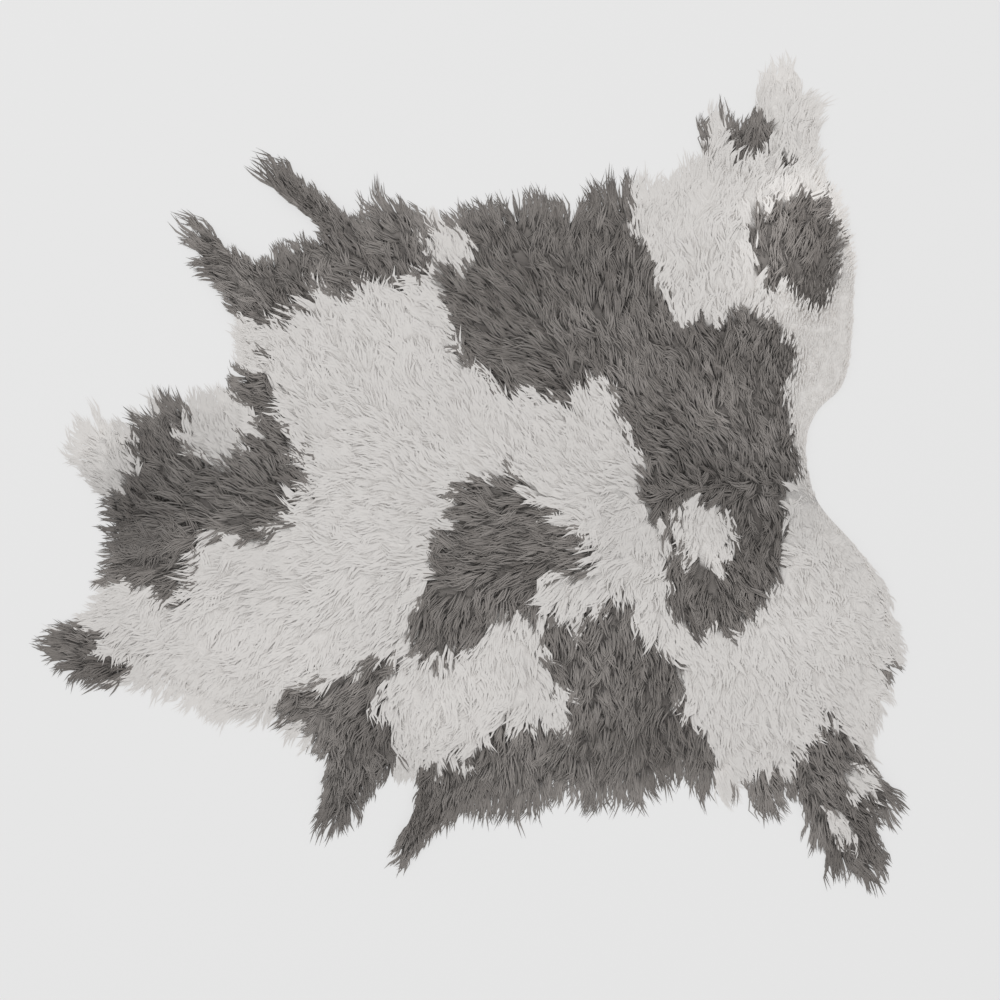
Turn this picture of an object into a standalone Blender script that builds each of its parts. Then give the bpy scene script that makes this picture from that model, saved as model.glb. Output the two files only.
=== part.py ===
"""Cowhide rug: one whole hide with long hair, lying flat on a floor, hair side up.

The hide is one piece: a thin skin, flat underneath, with a lumpy pile on it and loose locks of hair
at its rim. Its spine runs along X, with the rump at -X and the neck at +X. The origin is on the
underside, in the middle of the hide, and +Z is up. Sizes in the tables are in millimetres.
"""

import math
import random

import bmesh
import bpy
import numpy as np
from mathutils.geometry import delaunay_2d_cdt

MM = 0.001
SEED = 11

# Skin and pile
SKIN_THICKNESS = 2.5
PILE_HEIGHT = 30.0
EDGE_PILE_HEIGHT = 13.0
EDGE_SLOPE = 85.0
POINT_SPACING = 24.0
POINT_JITTER = 0.22

# Tufts, the lumps of the pile, which lie along the hair
TUFT_SPACING = 54.0
TUFT_JITTER = 0.35
TUFT_LENGTH = 70.0
TUFT_WIDTH = 19.0
TUFT_HEIGHT = 9.0
TUFT_HEIGHT_VARIES = (0.5, 1.3)

# Parting along the spine, where the hair falls to both sides
PARTING_DEPTH = 9.0
PARTING_WIDTH = 34.0

# Locks at the rim. The root and the waist are widths, as shares of the pitch and of the root.
LOCK_PITCH = 25.0
LOCK_PITCH_VARIES = (0.82, 1.18)
LOCK_ROOT = 0.86
LOCK_WAIST = 0.60
LOCK_LENGTH_VARIES = (0.72, 1.12)
LOCK_SWAY = 0.10
LOCK_RIDGE_INSET = 11.0
LOCK_RIDGE_ROOM = 6.0
LOCK_RIDGE_HEIGHT = 15.0
LOCK_WAIST_HEIGHT = 9.0
LOCK_GAP = 1.5
FULL_LOCK = 40.0
SHORTEST_LOCK = 15.0

# A lock that would cross another one, or the skin, is tried again at these shares of its length,
# and no lock leans nearer to the edge than this share of its length outwards.
LOCK_SHORTENED = (1.0, 0.75, 0.55, 0.4)
LEAST_OUTWARD = 0.35

# Steps along the skin's edge: of its curve, and between its points where it has no locks
EDGE_STEP = 6.0
PLAIN_STEP = 24.0

HIDE_COLOUR = (0.60, 0.58, 0.56, 1.0)

# The skin's edge, clockwise, limb by limb. The columns are the place of a point on the edge (x, y),
# how far the hair reaches past it, and the heading in which that hair points, in degrees from +X.
EDGE = {
    "upper hind shank": [
        (-296, 484, 20, 165),
        (-340, 524, 24, 170),
        (-384, 560, 38, 158),
        (-398, 586, 60, 142),
        (-364, 588, 34, 130),
        (-320, 556, 26, 120),
        (-258, 512, 26, 118),
    ],
    "upper flank": [
        (-220, 480, 40, 125),
        (-168, 524, 58, 120),
        (-112, 496, 50, 112),
        (-16, 492, 55, 105),
        (84, 512, 60, 97),
        (184, 504, 54, 92),
        (274, 532, 60, 90),
        (368, 546, 58, 90),
        (412, 568, 56, 90),
    ],
    "upper foreleg": [
        (444, 592, 52, 100),
        (466, 664, 60, 102),
        (492, 688, 58, 90),
        (528, 676, 46, 85),
        (560, 692, 48, 92),
        (578, 772, 44, 98),
        (604, 788, 44, 86),
        (630, 772, 42, 75),
        (640, 732, 42, 55),
        (668, 708, 50, 50),
        (672, 626, 28, 60),
        (704, 552, 26, 50),
    ],
    "neck": [
        (744, 466, 12, 30),
        (750, 356, 0, 0),
        (728, 186, 0, 0),
        (680, 136, 0, 0),
        (656, 76, 0, 0),
        (674, -38, 10, 340),
        (754, -136, 12, 320),
        (800, -204, 18, 315),
    ],
    "lower neck": [
        (824, -308, 28, 310),
        (836, -348, 34, 320),
        (816, -384, 32, 300),
        (808, -434, 34, 300),
        (776, -504, 30, 300),
        (780, -574, 34, 308),
    ],
    "lower foreleg": [
        (820, -640, 40, 312),
        (780, -674, 36, 290),
        (792, -756, 36, 308),
        (760, -782, 46, 280),
        (716, -744, 40, 262),
        (664, -656, 36, 252),
        (620, -600, 36, 262),
        (572, -624, 60, 272),
        (534, -576, 42, 266),
    ],
    "lower flank": [
        (480, -580, 60, 278),
        (400, -552, 52, 273),
        (316, -592, 60, 270),
        (224, -600, 56, 270),
        (176, -588, 50, 268),
        (88, -620, 58, 264),
        (4, -620, 54, 260),
        (-64, -668, 40, 255),
    ],
    "belly strip": [
        (-116, -720, 30, 245),
        (-152, -756, 54, 248),
        (-150, -720, 26, 245),
        (-120, -640, 16, 232),
        (-116, -588, 22, 245),
    ],
    "lower hind leg": [
        (-180, -576, 32, 255),
        (-228, -612, 28, 262),
        (-268, -668, 42, 258),
        (-292, -668, 56, 250),
        (-300, -624, 34, 243),
        (-300, -544, 30, 235),
        (-364, -488, 34, 228),
        (-404, -456, 36, 226),
    ],
    "lower rump": [
        (-476, -460, 48, 228),
        (-560, -424, 46, 225),
        (-640, -392, 42, 224),
        (-724, -392, 44, 222),
    ],
    "rump tip": [
        (-788, -384, 42, 222),
        (-830, -348, 42, 196),
        (-816, -312, 40, 176),
        (-752, -264, 30, 180),
    ],
    "rump": [
        (-716, -130, 34, 182),
        (-730, -48, 28, 165),
    ],
    "tail lobe": [
        (-772, 16, 36, 155),
        (-780, 56, 46, 145),
        (-750, 92, 54, 115),
        (-720, 60, 44, 112),
    ],
    "upper rump": [
        (-664, 84, 50, 118),
        (-604, 124, 52, 112),
        (-540, 120, 50, 110),
        (-476, 152, 44, 124),
        (-460, 224, 34, 134),
        (-476, 320, 30, 138),
    ],
    "upper hind foot": [
        (-516, 388, 26, 164),
        (-552, 452, 46, 146),
        (-546, 480, 60, 132),
        (-476, 438, 26, 110),
        (-408, 420, 24, 105),
        (-380, 436, 40, 115),
        (-320, 462, 20, 120),
    ],
}

# Which way the hair lies. The columns are a place (x, y) and a heading in degrees from +X.
HAIR_FLOW = [
    (-440, 590, 140),
    (-540, 470, 132),
    (-300, 400, 122),
    (-180, 440, 120),
    (40, 500, 105),
    (240, 540, 90),
    (480, 640, 90),
    (600, 760, 82),
    (660, 460, 80),
    (430, 440, 98),
    (700, 250, 72),
    (320, 180, 112),
    (540, 60, 98),
    (40, 240, 150),
    (-160, 200, 128),
    (-260, 20, 150),
    (-560, 60, 125),
    (-700, -60, 165),
    (-660, -180, 215),
    (-800, -340, 205),
    (-400, -240, 220),
    (-300, -480, 228),
    (-260, -620, 260),
    (-140, -760, 246),
    (20, -260, 255),
    (60, -560, 264),
    (280, -600, 272),
    (360, -300, 285),
    (560, -300, 295),
    (640, -140, 300),
    (800, -400, 300),
    (740, -720, 297),
]

# Course of the parting, from the rump to the neck
PARTING = [(-756, -124), (-556, -124), (-56, -114), (164, -104), (344, -24), (624, -4)]


def clear_scene():
    """Removes whatever the scene holds."""
    for obj in list(bpy.data.objects):
        bpy.data.objects.remove(obj, do_unlink=True)


def unit(vector):
    """The vector at length one."""
    return vector / np.linalg.norm(vector)


def heading_vector(degrees):
    """The unit vector that points along a heading."""
    angle = math.radians(degrees)
    return np.array([math.cos(angle), math.sin(angle)])


def cross(a, b):
    """The cross product of two vectors in the plane, positive where b lies to the left of a."""
    return a[..., 0] * b[..., 1] - a[..., 1] * b[..., 0]


def smoothstep(value):
    """A soft step from 0 to 1."""
    value = np.clip(value, 0.0, 1.0)
    return value * value * (3.0 - 2.0 * value)


def skin_edge():
    """The skin's edge as a dense closed line: x, y, hair reach, and the heading as a vector."""
    rows = [row for limb in EDGE.values() for row in limb]
    stations = np.array([(x, y, reach, *heading_vector(heading)) for x, y, reach, heading in rows])
    dense = []
    for i in range(len(stations)):
        p0, p1, p2, p3 = (stations[(i + k) % len(stations)] for k in (-1, 0, 1, 2))
        # A centripetal Catmull-Rom curve, which has no loops where stations lie close together
        gaps = [math.sqrt(np.linalg.norm((b - a)[:2])) for a, b in ((p0, p1), (p1, p2), (p2, p3))]
        t0, t1 = 0.0, gaps[0]
        t2, t3 = t1 + gaps[1], t1 + gaps[1] + gaps[2]
        steps = max(2, round(gaps[1] ** 2 / EDGE_STEP))
        for t in np.linspace(t1, t2, steps, endpoint=False):
            a1 = (t1 - t) / (t1 - t0) * p0 + (t - t0) / (t1 - t0) * p1
            a2 = (t2 - t) / (t2 - t1) * p1 + (t - t1) / (t2 - t1) * p2
            a3 = (t3 - t) / (t3 - t2) * p2 + (t - t2) / (t3 - t2) * p3
            b1 = (t2 - t) / (t2 - t0) * a1 + (t - t0) / (t2 - t0) * a2
            b2 = (t3 - t) / (t3 - t1) * a2 + (t - t1) / (t3 - t1) * a3
            dense.append((t2 - t) / (t2 - t1) * b1 + (t - t1) / (t2 - t1) * b2)
    return np.array(dense)


class Edge:
    """The skin's edge, read by the distance along it, clockwise, so that the skin is on its right."""

    def __init__(self, dense):
        self.rows = np.vstack([dense, dense[:1]])
        steps = np.linalg.norm(np.diff(self.rows[:, :2], axis=0), axis=1)
        self.along = np.concatenate([[0.0], np.cumsum(steps)])
        self.length = self.along[-1]

    def at(self, distance):
        """The row at this distance along the edge."""
        distance = distance % self.length
        return np.array([np.interp(distance, self.along, column) for column in self.rows.T])

    def outward(self, distance):
        """The direction that leaves the skin."""
        course = self.at(distance + EDGE_STEP)[:2] - self.at(distance - EDGE_STEP)[:2]
        return unit(np.array([-course[1], course[0]]))


def crosses(starts, ends, walls_a, walls_b):
    """Whether any of the first segments crosses any of the others."""
    for p, q in zip(starts, ends):
        side_p = cross(walls_b - walls_a, p - walls_a)
        side_q = cross(walls_b - walls_a, q - walls_a)
        side_a = cross(q - p, walls_a - p)
        side_b = cross(q - p, walls_b - p)
        if np.any((side_p * side_q < 0) & (side_a * side_b < 0)):
            return True
    return False


def lock_at(edge, start, width, share, rng):
    """One lock, from its root on the edge to its tip, which bends over to the way of the hair."""
    middle = start + width / 2
    row = edge.at(middle)
    out = edge.outward(middle)
    root, length, heading = row[:2], row[2] * share, row[3:5]
    flow = unit(heading + rng.uniform(-LOCK_SWAY, LOCK_SWAY) * np.array([-heading[1], heading[0]]))
    if flow @ out < LEAST_OUTWARD:
        flow = unit(flow + (LEAST_OUTWARD + 0.1 - flow @ out) * out)
    tip = root + flow * length
    bend = root + unit(flow + 0.4 * out) * length / 2
    waist = (root + 2 * bend + tip) / 4
    across = unit(np.array([-(tip - root)[1], (tip - root)[0]])) * width * LOCK_WAIST / 2
    return {"left": waist + across, "tip": tip, "right": waist - across, "waist": waist,
            "ridge root": root - out * LOCK_RIDGE_INSET, "fullness": min(1.0, length / FULL_LOCK)}


def rim_of(edge, dense, rng):
    """The rim: its points, which of them are on the skin's edge, and its locks."""
    walls_a = dense[:, :2]
    walls_b = np.roll(walls_a, -1, axis=0)
    points, on_skin, locks = [], [], []
    distance = 0.0
    while distance < edge.length - LOCK_PITCH * LOCK_PITCH_VARIES[1]:
        pitch = LOCK_PITCH * rng.uniform(*LOCK_PITCH_VARIES)
        length = rng.uniform(*LOCK_LENGTH_VARIES)
        here = edge.at(distance)[:2]
        points.append(here)
        on_skin.append(True)
        if edge.at(distance + pitch / 2)[2] < SHORTEST_LOCK:
            distance += PLAIN_STEP
            continue
        width = pitch * LOCK_ROOT
        there = edge.at(distance + width)[:2]
        out = edge.outward(distance + width / 2)
        margin = unit(there - here) * LOCK_GAP
        for shortened in LOCK_SHORTENED:
            lock = lock_at(edge, distance, width, length * shortened, rng)
            left, tip, right = lock["left"], lock["tip"], lock["right"]
            path = np.array([here + out, left - margin, tip, right + margin, there + out])
            if crosses(path[:-1], path[1:], walls_a, walls_b):
                continue
            lock["first"] = len(points)
            locks.append(lock)
            points += [left, tip, right, there]
            on_skin += [False, False, False, True]
            walls_a = np.vstack([walls_a, [here, left, tip, right]])
            walls_b = np.vstack([walls_b, [left, tip, right, there]])
            break
        distance += pitch
    return np.array(points), on_skin, locks


def inside(points, polygon):
    """Which points lie inside the closed polygon."""
    found = np.zeros(len(points), bool)
    for a, b in zip(polygon, np.roll(polygon, -1, axis=0)):
        spans = (a[1] > points[:, 1]) != (b[1] > points[:, 1])
        reach = a[0] + (points[:, 1] - a[1]) / np.where(b[1] == a[1], 1.0, b[1] - a[1]) * (b[0] - a[0])
        found ^= spans & (points[:, 0] < reach)
    return found


def distance_to(points, line_a, line_b):
    """Each point's distance to the nearest of the segments."""
    nearest = np.full(len(points), np.inf)
    for a, b in zip(line_a, line_b):
        along = np.clip((points - a) @ (b - a) / max((b - a) @ (b - a), 1e-9), 0.0, 1.0)
        nearest = np.minimum(nearest, np.linalg.norm(points - a - along[:, None] * (b - a), axis=1))
    return nearest


def scatter(spacing, polygon, jitter, rng):
    """Jittered points of a triangular grid that lie inside the polygon."""
    low, high = polygon.min(axis=0), polygon.max(axis=0)
    row_step = spacing * math.sin(math.radians(60))
    rows = int((high[1] - low[1]) / row_step) + 1
    columns = int((high[0] - low[0]) / spacing) + 1
    reach = jitter * spacing
    grid = []
    for row in range(rows):
        for column in range(columns):
            x = low[0] + (column + 0.5 * (row % 2)) * spacing
            y = low[1] + row * row_step
            grid.append((x + rng.uniform(-reach, reach), y + rng.uniform(-reach, reach)))
    grid = np.array(grid)
    return grid[inside(grid, polygon)]


def flow_at(points):
    """The direction of the hair at each point, from the nearest stations."""
    places = np.array([(x, y) for x, y, _ in HAIR_FLOW], float)
    headings = np.array([heading_vector(heading) for _, _, heading in HAIR_FLOW])
    gaps = np.linalg.norm(points[:, None] - places[None], axis=2)
    flow = (1.0 / (gaps + 20.0) ** 3) @ headings
    return flow / np.linalg.norm(flow, axis=1)[:, None]


def tuft_height(points, polygon, rng):
    """How far the tufts raise the pile. A tuft rises towards its tip and drops off past it."""
    roots = scatter(TUFT_SPACING, polygon, TUFT_JITTER, rng)
    flow = flow_at(roots)
    raised = np.zeros(len(points))
    for root, (dx, dy) in zip(roots, flow):
        height = TUFT_HEIGHT * rng.uniform(*TUFT_HEIGHT_VARIES)
        offset = points - root
        along = (offset[:, 0] * dx + offset[:, 1] * dy) / TUFT_LENGTH
        across = (offset[:, 1] * dx - offset[:, 0] * dy) / TUFT_WIDTH
        rise = smoothstep((along + 0.5) / 0.75) * (1.0 - smoothstep((along - 0.28) / 0.2))
        raised = np.maximum(raised, height * rise * np.exp(-across * across))
    return raised


def pile_top(points, edge_line, rng):
    """The height of the pile's top over the floor at each point."""
    from_edge = distance_to(points, edge_line, np.roll(edge_line, -1, axis=0))
    course = np.array(PARTING, float)
    from_parting = distance_to(points, course[:-1], course[1:])
    pile = EDGE_PILE_HEIGHT + (PILE_HEIGHT - EDGE_PILE_HEIGHT) * smoothstep(from_edge / EDGE_SLOPE)
    tufts = tuft_height(points, edge_line, rng) * smoothstep(from_edge / EDGE_SLOPE + 0.4)
    parting = PARTING_DEPTH * np.exp(-((from_parting / PARTING_WIDTH) ** 2))
    return SKIN_THICKNESS + pile - TUFT_HEIGHT / 2 + tufts - parting


def triangles_over(points, links, rim_count):
    """Triangles, by point index, that fill the rim's polygon and keep the links as edges."""
    rim_edges = [(i, (i + 1) % rim_count) for i in range(rim_count)]
    found = delaunay_2d_cdt([tuple(p) for p in points], rim_edges + links, [], 0, 1e-6, True)
    vertices, _, faces, origins, _, _ = found
    faults = [tuple(v) for v, origin in zip(vertices, origins) if len(origin) != 1]
    if faults:
        raise ValueError(f"points of the hide coincide, or edges cross, at {faults[:8]}")
    triangles = np.array([[origins[i][0] for i in face] for face in faces])
    return triangles[inside(points[triangles].mean(axis=1), points[:rim_count])].tolist()


def facing_up(triangle, points):
    """The triangle's corners in counter-clockwise order, seen from above."""
    a, b, c = (points[i] for i in triangle)
    return triangle if cross(b - a, c - a) > 0 else triangle[::-1]


def ridge_points(locks, rim_count, edge_line):
    """The points along the locks' ridges, their heights, and the links that keep them as edges."""
    roots = np.array([lock["ridge root"] for lock in locks])
    room = distance_to(roots, edge_line, np.roll(edge_line, -1, axis=0))
    room[~inside(roots, edge_line)] = 0.0
    points, heights, links = [], [], []
    for lock, root, root_room in zip(locks, roots, room):
        apart = min((np.linalg.norm(root - other) for other in points), default=np.inf)
        waist = rim_count + len(points)
        points.append(lock["waist"])
        heights.append(LOCK_WAIST_HEIGHT * lock["fullness"])
        links += [(waist, lock["first"] + corner) for corner in range(3)]
        if min(apart, root_room) > LOCK_RIDGE_ROOM:
            points.append(root)
            heights.append(LOCK_RIDGE_HEIGHT)
            links.append((waist, waist + 1))
    return np.array(points), heights, links


def pile_points(edge_line, taken, rng):
    """The points of the pile, clear of the skin's edge and of the points already taken."""
    field = scatter(POINT_SPACING, edge_line, POINT_JITTER, rng)
    from_edge = distance_to(field, edge_line, np.roll(edge_line, -1, axis=0))
    apart = np.linalg.norm(field[:, None] - taken[None], axis=2).min(axis=1)
    return field[(from_edge > POINT_SPACING * 0.45) & (apart > POINT_SPACING * 0.55)]


def hide_mesh():
    """The closed mesh of the hide: flat below, its pile above, its locks round it."""
    rng = random.Random(SEED)
    dense = skin_edge()
    edge_line = dense[:, :2]
    rim, on_skin, locks = rim_of(Edge(dense), dense, rng)
    ridge, ridge_heights, links = ridge_points(locks, len(rim), edge_line)
    field = pile_points(edge_line, ridge, rng)
    points = np.vstack([rim, ridge, field])
    heights = np.concatenate([np.full(len(rim), SKIN_THICKNESS), ridge_heights,
                              pile_top(field, edge_line, rng)])

    mesh = bmesh.new()
    floor = [mesh.verts.new((x * MM, y * MM, 0.0)) for x, y in rim]
    # A lock's sides meet the floor, so that there its upper points are its lower ones
    upper = [floor[i] if i < len(rim) and not on_skin[i] else mesh.verts.new((x * MM, y * MM, z * MM))
             for i, ((x, y), z) in enumerate(zip(points, heights))]
    for triangle in triangles_over(points, links, len(rim)):
        mesh.faces.new([upper[i] for i in facing_up(triangle, points)])
    for triangle in triangles_over(rim, [], len(rim)):
        mesh.faces.new([floor[i] for i in reversed(facing_up(triangle, points))])
    for i in range(len(rim)):
        j = (i + 1) % len(rim)
        # The rim runs clockwise, so this order turns each wall outwards
        corners = list(dict.fromkeys([floor[j], floor[i], upper[i], upper[j]]))
        if len(corners) > 2:
            mesh.faces.new(corners)
    bmesh.ops.triangulate(mesh, faces=mesh.faces[:])
    print(len(locks), "locks,", len(mesh.faces), "triangles, volume", mesh.calc_volume(), "m3")
    return mesh


def hide_material():
    """Pale hair, matt and soft."""
    material = bpy.data.materials.new("long hair")
    material.use_nodes = True
    shader = material.node_tree.nodes["Principled BSDF"]
    shader.inputs["Base Color"].default_value = HIDE_COLOUR
    shader.inputs["Roughness"].default_value = 0.85
    shader.inputs["Metallic"].default_value = 0.0
    return material


def make_cowhide():
    """The rug's one piece."""
    data = bpy.data.meshes.new("cowhide")
    mesh = hide_mesh()
    mesh.to_mesh(data)
    mesh.free()
    data.materials.append(hide_material())
    cowhide = bpy.data.objects.new("cowhide", data)
    bpy.context.scene.collection.objects.link(cowhide)


clear_scene()
make_cowhide()
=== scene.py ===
# %% [markdown]
# # A long-haired cowhide rug
#
# The rug is one whole hide. Underneath is the skin, tanned to a thin soft leather that lies flat on the
# floor. On top of it stands the coat: short woolly hair close to the skin, and long hair over it, which
# lies down in locks, parts along the spine and reaches past the skin's edge all round.
#
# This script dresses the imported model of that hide. It reads the outline of the skin and the course of
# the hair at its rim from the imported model, so that every hair grows on the solid that the tools test.

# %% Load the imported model
import math

import bmesh
import bpy
import numpy as np
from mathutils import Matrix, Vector
from mathutils.geometry import delaunay_2d_cdt
from mathutils.kdtree import KDTree


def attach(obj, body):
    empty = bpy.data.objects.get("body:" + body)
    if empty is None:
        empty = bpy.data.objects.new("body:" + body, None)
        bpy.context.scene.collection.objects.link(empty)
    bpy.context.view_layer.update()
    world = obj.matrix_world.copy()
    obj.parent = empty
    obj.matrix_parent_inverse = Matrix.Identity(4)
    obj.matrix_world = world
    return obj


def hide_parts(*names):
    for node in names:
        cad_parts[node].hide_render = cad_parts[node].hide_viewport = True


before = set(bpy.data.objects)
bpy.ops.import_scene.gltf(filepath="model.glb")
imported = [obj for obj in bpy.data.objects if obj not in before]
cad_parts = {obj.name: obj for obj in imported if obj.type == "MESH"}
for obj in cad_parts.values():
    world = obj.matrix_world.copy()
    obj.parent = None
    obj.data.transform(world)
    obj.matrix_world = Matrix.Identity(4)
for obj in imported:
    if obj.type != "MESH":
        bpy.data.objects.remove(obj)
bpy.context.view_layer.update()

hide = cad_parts["cowhide"]
# Blender works in metres. The hide is measured in millimetres here, and MM turns them into metres
MM = 0.001

# %% [markdown]
# ## The room
#
# The photograph looks straight down at the rug, which lies in the middle of a pale, evenly lit floor. A
# long lens from high up keeps the outline free of perspective. The light is that of a bright studio: the
# same from all sides, and a little more from the upper left, so that the locks get a lit and a shaded side.

# %% Camera
PHOTO_SIDE = 2.0
PHOTO_CENTRE = (0.044, -0.044)
LENS_MM = 85.0
SENSOR_MM = 36.0

camera_data = bpy.data.cameras.new("camera")
camera_data.lens = LENS_MM
camera_data.sensor_width = SENSOR_MM
camera = bpy.data.objects.new("camera", camera_data)
camera.location = (*PHOTO_CENTRE, PHOTO_SIDE * LENS_MM / SENSOR_MM)
bpy.context.scene.collection.objects.link(camera)
bpy.context.scene.camera = camera
print("camera height", round(camera.location.z, 3), "m")

# %% Light
WHITE = (1.0, 1.0, 1.0, 1.0)
SKY_LIGHT = 0.75
LAMP_PLACE = (-1.6, 2.0, 3.6)
LAMP_SIDE = 2.2
LAMP_WATTS = 23.0

scene = bpy.context.scene
scene.view_settings.view_transform = "Standard"
world = bpy.data.worlds.new("studio")
world.use_nodes = True
sky = world.node_tree.nodes["Background"]
sky.inputs["Color"].default_value = WHITE
sky.inputs["Strength"].default_value = SKY_LIGHT
scene.world = world

lamp_data = bpy.data.lights.new("soft box", "AREA")
lamp_data.size = LAMP_SIDE
lamp_data.energy = LAMP_WATTS
lamp = bpy.data.objects.new("soft box", lamp_data)
lamp.location = LAMP_PLACE
lamp.rotation_euler = (-Vector(LAMP_PLACE)).to_track_quat("-Z", "Y").to_euler()
scene.collection.objects.link(lamp)
print("sky", SKY_LIGHT, "lamp", LAMP_WATTS, "W")

# %% [markdown]
# Materials and shapes are both made of nodes here. A node tree is written one node at a time: `add` makes
# a node, sets its values and plugs in the outputs that feed it. The helpers after it give the result of
# one common node each.

# %% Helpers for node trees


def add(tree, kind, inputs=None, **settings):
    """Adds a node. A value in inputs is a number, or the output socket that feeds that input."""
    node = tree.nodes.new(kind)
    for name, value in settings.items():
        setattr(node, name, value)
    for key, value in (inputs or {}).items():
        if isinstance(value, bpy.types.NodeSocket):
            tree.links.new(value, node.inputs[key])
        else:
            node.inputs[key].default_value = value
    return node


def math_node(tree, operation, *values):
    """The number that a Math node gives."""
    return add(tree, "ShaderNodeMath", dict(enumerate(values)), operation=operation).outputs[0]


def vector_node(tree, operation, *values):
    """The vector that a Vector Math node gives."""
    return add(tree, "ShaderNodeVectorMath", dict(enumerate(values)), operation=operation).outputs["Vector"]


def scaled(tree, vector, factor):
    """The vector, or the colour, times a number."""
    node = add(tree, "ShaderNodeVectorMath", {0: vector, "Scale": factor}, operation="SCALE")
    return node.outputs["Vector"]


def mixed_colour(tree, share, first, second):
    """The colour that lies at a share of the way from the first to the second."""
    node = add(tree, "ShaderNodeMix", {0: share, 6: first, 7: second}, data_type="RGBA")
    return node.outputs[2]


def carried_over(tree, value, low, high, start=0.0, end=1.0, curve="LINEAR"):
    """The value, carried over from the range of start to end to the range of low to high."""
    node = add(tree, "ShaderNodeMapRange", {
        "Value": value, "From Min": start, "From Max": end, "To Min": low, "To Max": high},
        interpolation_type=curve)
    return node.outputs["Result"]


# %% Helpers for materials


def new_material(name, **values):
    """A material with a Principled shader, whose even values are set on the shader's own sockets."""
    material = bpy.data.materials.new(name)
    material.use_nodes = True
    shader = material.node_tree.nodes["Principled BSDF"]
    for key, value in values.items():
        shader.inputs[key.replace("_", " ")].default_value = value
    return material, material.node_tree, shader


def add_relief(nodes, shader, height, strength, depth):
    """Bumps on the shader's surface, from a height between 0 and 1 and a depth in metres."""
    bump = add(nodes, "ShaderNodeBump", {"Height": height, "Strength": strength, "Distance": depth})
    nodes.links.new(bump.outputs["Normal"], shader.inputs["Normal"])


# %% [markdown]
# The floor is a wide round plate, a hair's breadth under the rug. It glows a little, because the floor of
# such a photograph is lit until it is nearly white, while the rug on it is not.

# %% Floor
FLOOR_RADIUS = 14.0
FLOOR_CORNERS = 96
FLOOR_DROP = 0.0004
FLOOR_COLOUR = (0.20, 0.20, 0.20, 1.0)
FLOOR_GLOW = 0.612

floor_mesh = bmesh.new()
bmesh.ops.create_circle(floor_mesh, cap_ends=True, radius=FLOOR_RADIUS, segments=FLOOR_CORNERS)
bmesh.ops.translate(floor_mesh, verts=floor_mesh.verts, vec=(0.0, 0.0, -FLOOR_DROP))
floor_data = bpy.data.meshes.new("floor")
floor_mesh.to_mesh(floor_data)
floor_mesh.free()
floor_paint, _, floor_shader = new_material("pale floor", Base_Color=FLOOR_COLOUR, Roughness=0.9)
floor_shader.inputs["Emission Color"].default_value = WHITE
floor_shader.inputs["Emission Strength"].default_value = FLOOR_GLOW
floor_data.materials.append(floor_paint)
floor = bpy.data.objects.new("floor", floor_data)
scene.collection.objects.link(floor)
print("floor of radius", FLOOR_RADIUS, "m")

# %% [markdown]
# ## Reading the hide's rim
#
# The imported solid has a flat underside. Its rim runs along the skin's edge and out and back round each of
# the locks. A point of the rim is on the skin where a second point stands straight above it, at the height
# of the skin's thickness. Between two such points, a lock has three points of its own: left, tip and right.
#
# So the mesh tells both things that the coat needs: the skin's outline, and where each lock at the rim
# starts and points. The copy is merged first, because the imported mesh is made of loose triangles.

# %% Walk round the rim
SKIN_THICKNESS = 2.5
SAME_POINT = 0.02

merged = bmesh.new()
merged.from_mesh(hide.data)
bmesh.ops.remove_doubles(merged, verts=merged.verts, dist=SAME_POINT * MM)
merged.normal_update()
underside = {face for face in merged.faces if all(v.co.z < SAME_POINT * MM for v in face.verts)}
rim_edges = [e for e in merged.edges if sum(face in underside for face in e.link_faces) == 1]
neighbours = {}
for edge in rim_edges:
    for vertex in edge.verts:
        neighbours.setdefault(vertex, []).append(edge.other_vert(vertex))
walk = [rim_edges[0].verts[0]]
step = neighbours[walk[0]][0]
while step != walk[0]:
    walk.append(step)
    step = next(v for v in neighbours[step] if v != walk[-2])


def stands_on_skin(vertex):
    """Whether the skin's upper edge is straight above this point of the rim."""
    above = [e.other_vert(vertex) for e in vertex.link_edges]
    return any((v.co - vertex.co).xy.length < SAME_POINT * MM and v.co.z > MM for v in above)


rim = np.array([(v.co.x, v.co.y) for v in walk]) / MM
on_skin = np.array([stands_on_skin(v) for v in walk])
merged.free()
start = int(np.argmax(on_skin))
rim = np.roll(rim, -start, axis=0)
on_skin = np.roll(on_skin, -start)
print(len(rim), "points on the rim,", int(on_skin.sum()), "of them on the skin")

# %% The skin's outline and the locks round it
OUTLINE_STEP = 7.0
STEPS_OVER_LOCK = 4

corners = rim[on_skin]
places = np.flatnonzero(on_skin)
rim_locks = []
for first, last in zip(places, [*places[1:], len(rim)]):
    if last - first == STEPS_OVER_LOCK:
        root = (rim[first] + rim[last % len(rim)]) / 2
        tip = rim[first + STEPS_OVER_LOCK // 2]
        rim_locks.append((*root, *(tip - root)))
rim_locks = np.array(rim_locks)


def rounded(points, step):
    """The closed line through the points as a smooth curve with a point about every step."""
    line = []
    for i in range(len(points)):
        a, b, c, d = (points[(i + k) % len(points)] for k in (-1, 0, 1, 2))
        for t in np.arange(0, 1, 1 / max(1, round(np.linalg.norm(c - b) / step))):
            line.append(((2 * b) + (c - a) * t + (2 * a - 5 * b + 4 * c - d) * t * t
                         + (3 * b - a - 3 * c + d) * t ** 3) / 2)
    return np.array(line)


def signed_area(line):
    """The area inside a closed line, which is positive where the line runs counter-clockwise."""
    following = np.roll(line, -1, axis=0)
    return np.sum(line[:, 0] * following[:, 1] - line[:, 1] * following[:, 0]) / 2


outline = rounded(corners, OUTLINE_STEP)

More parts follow.
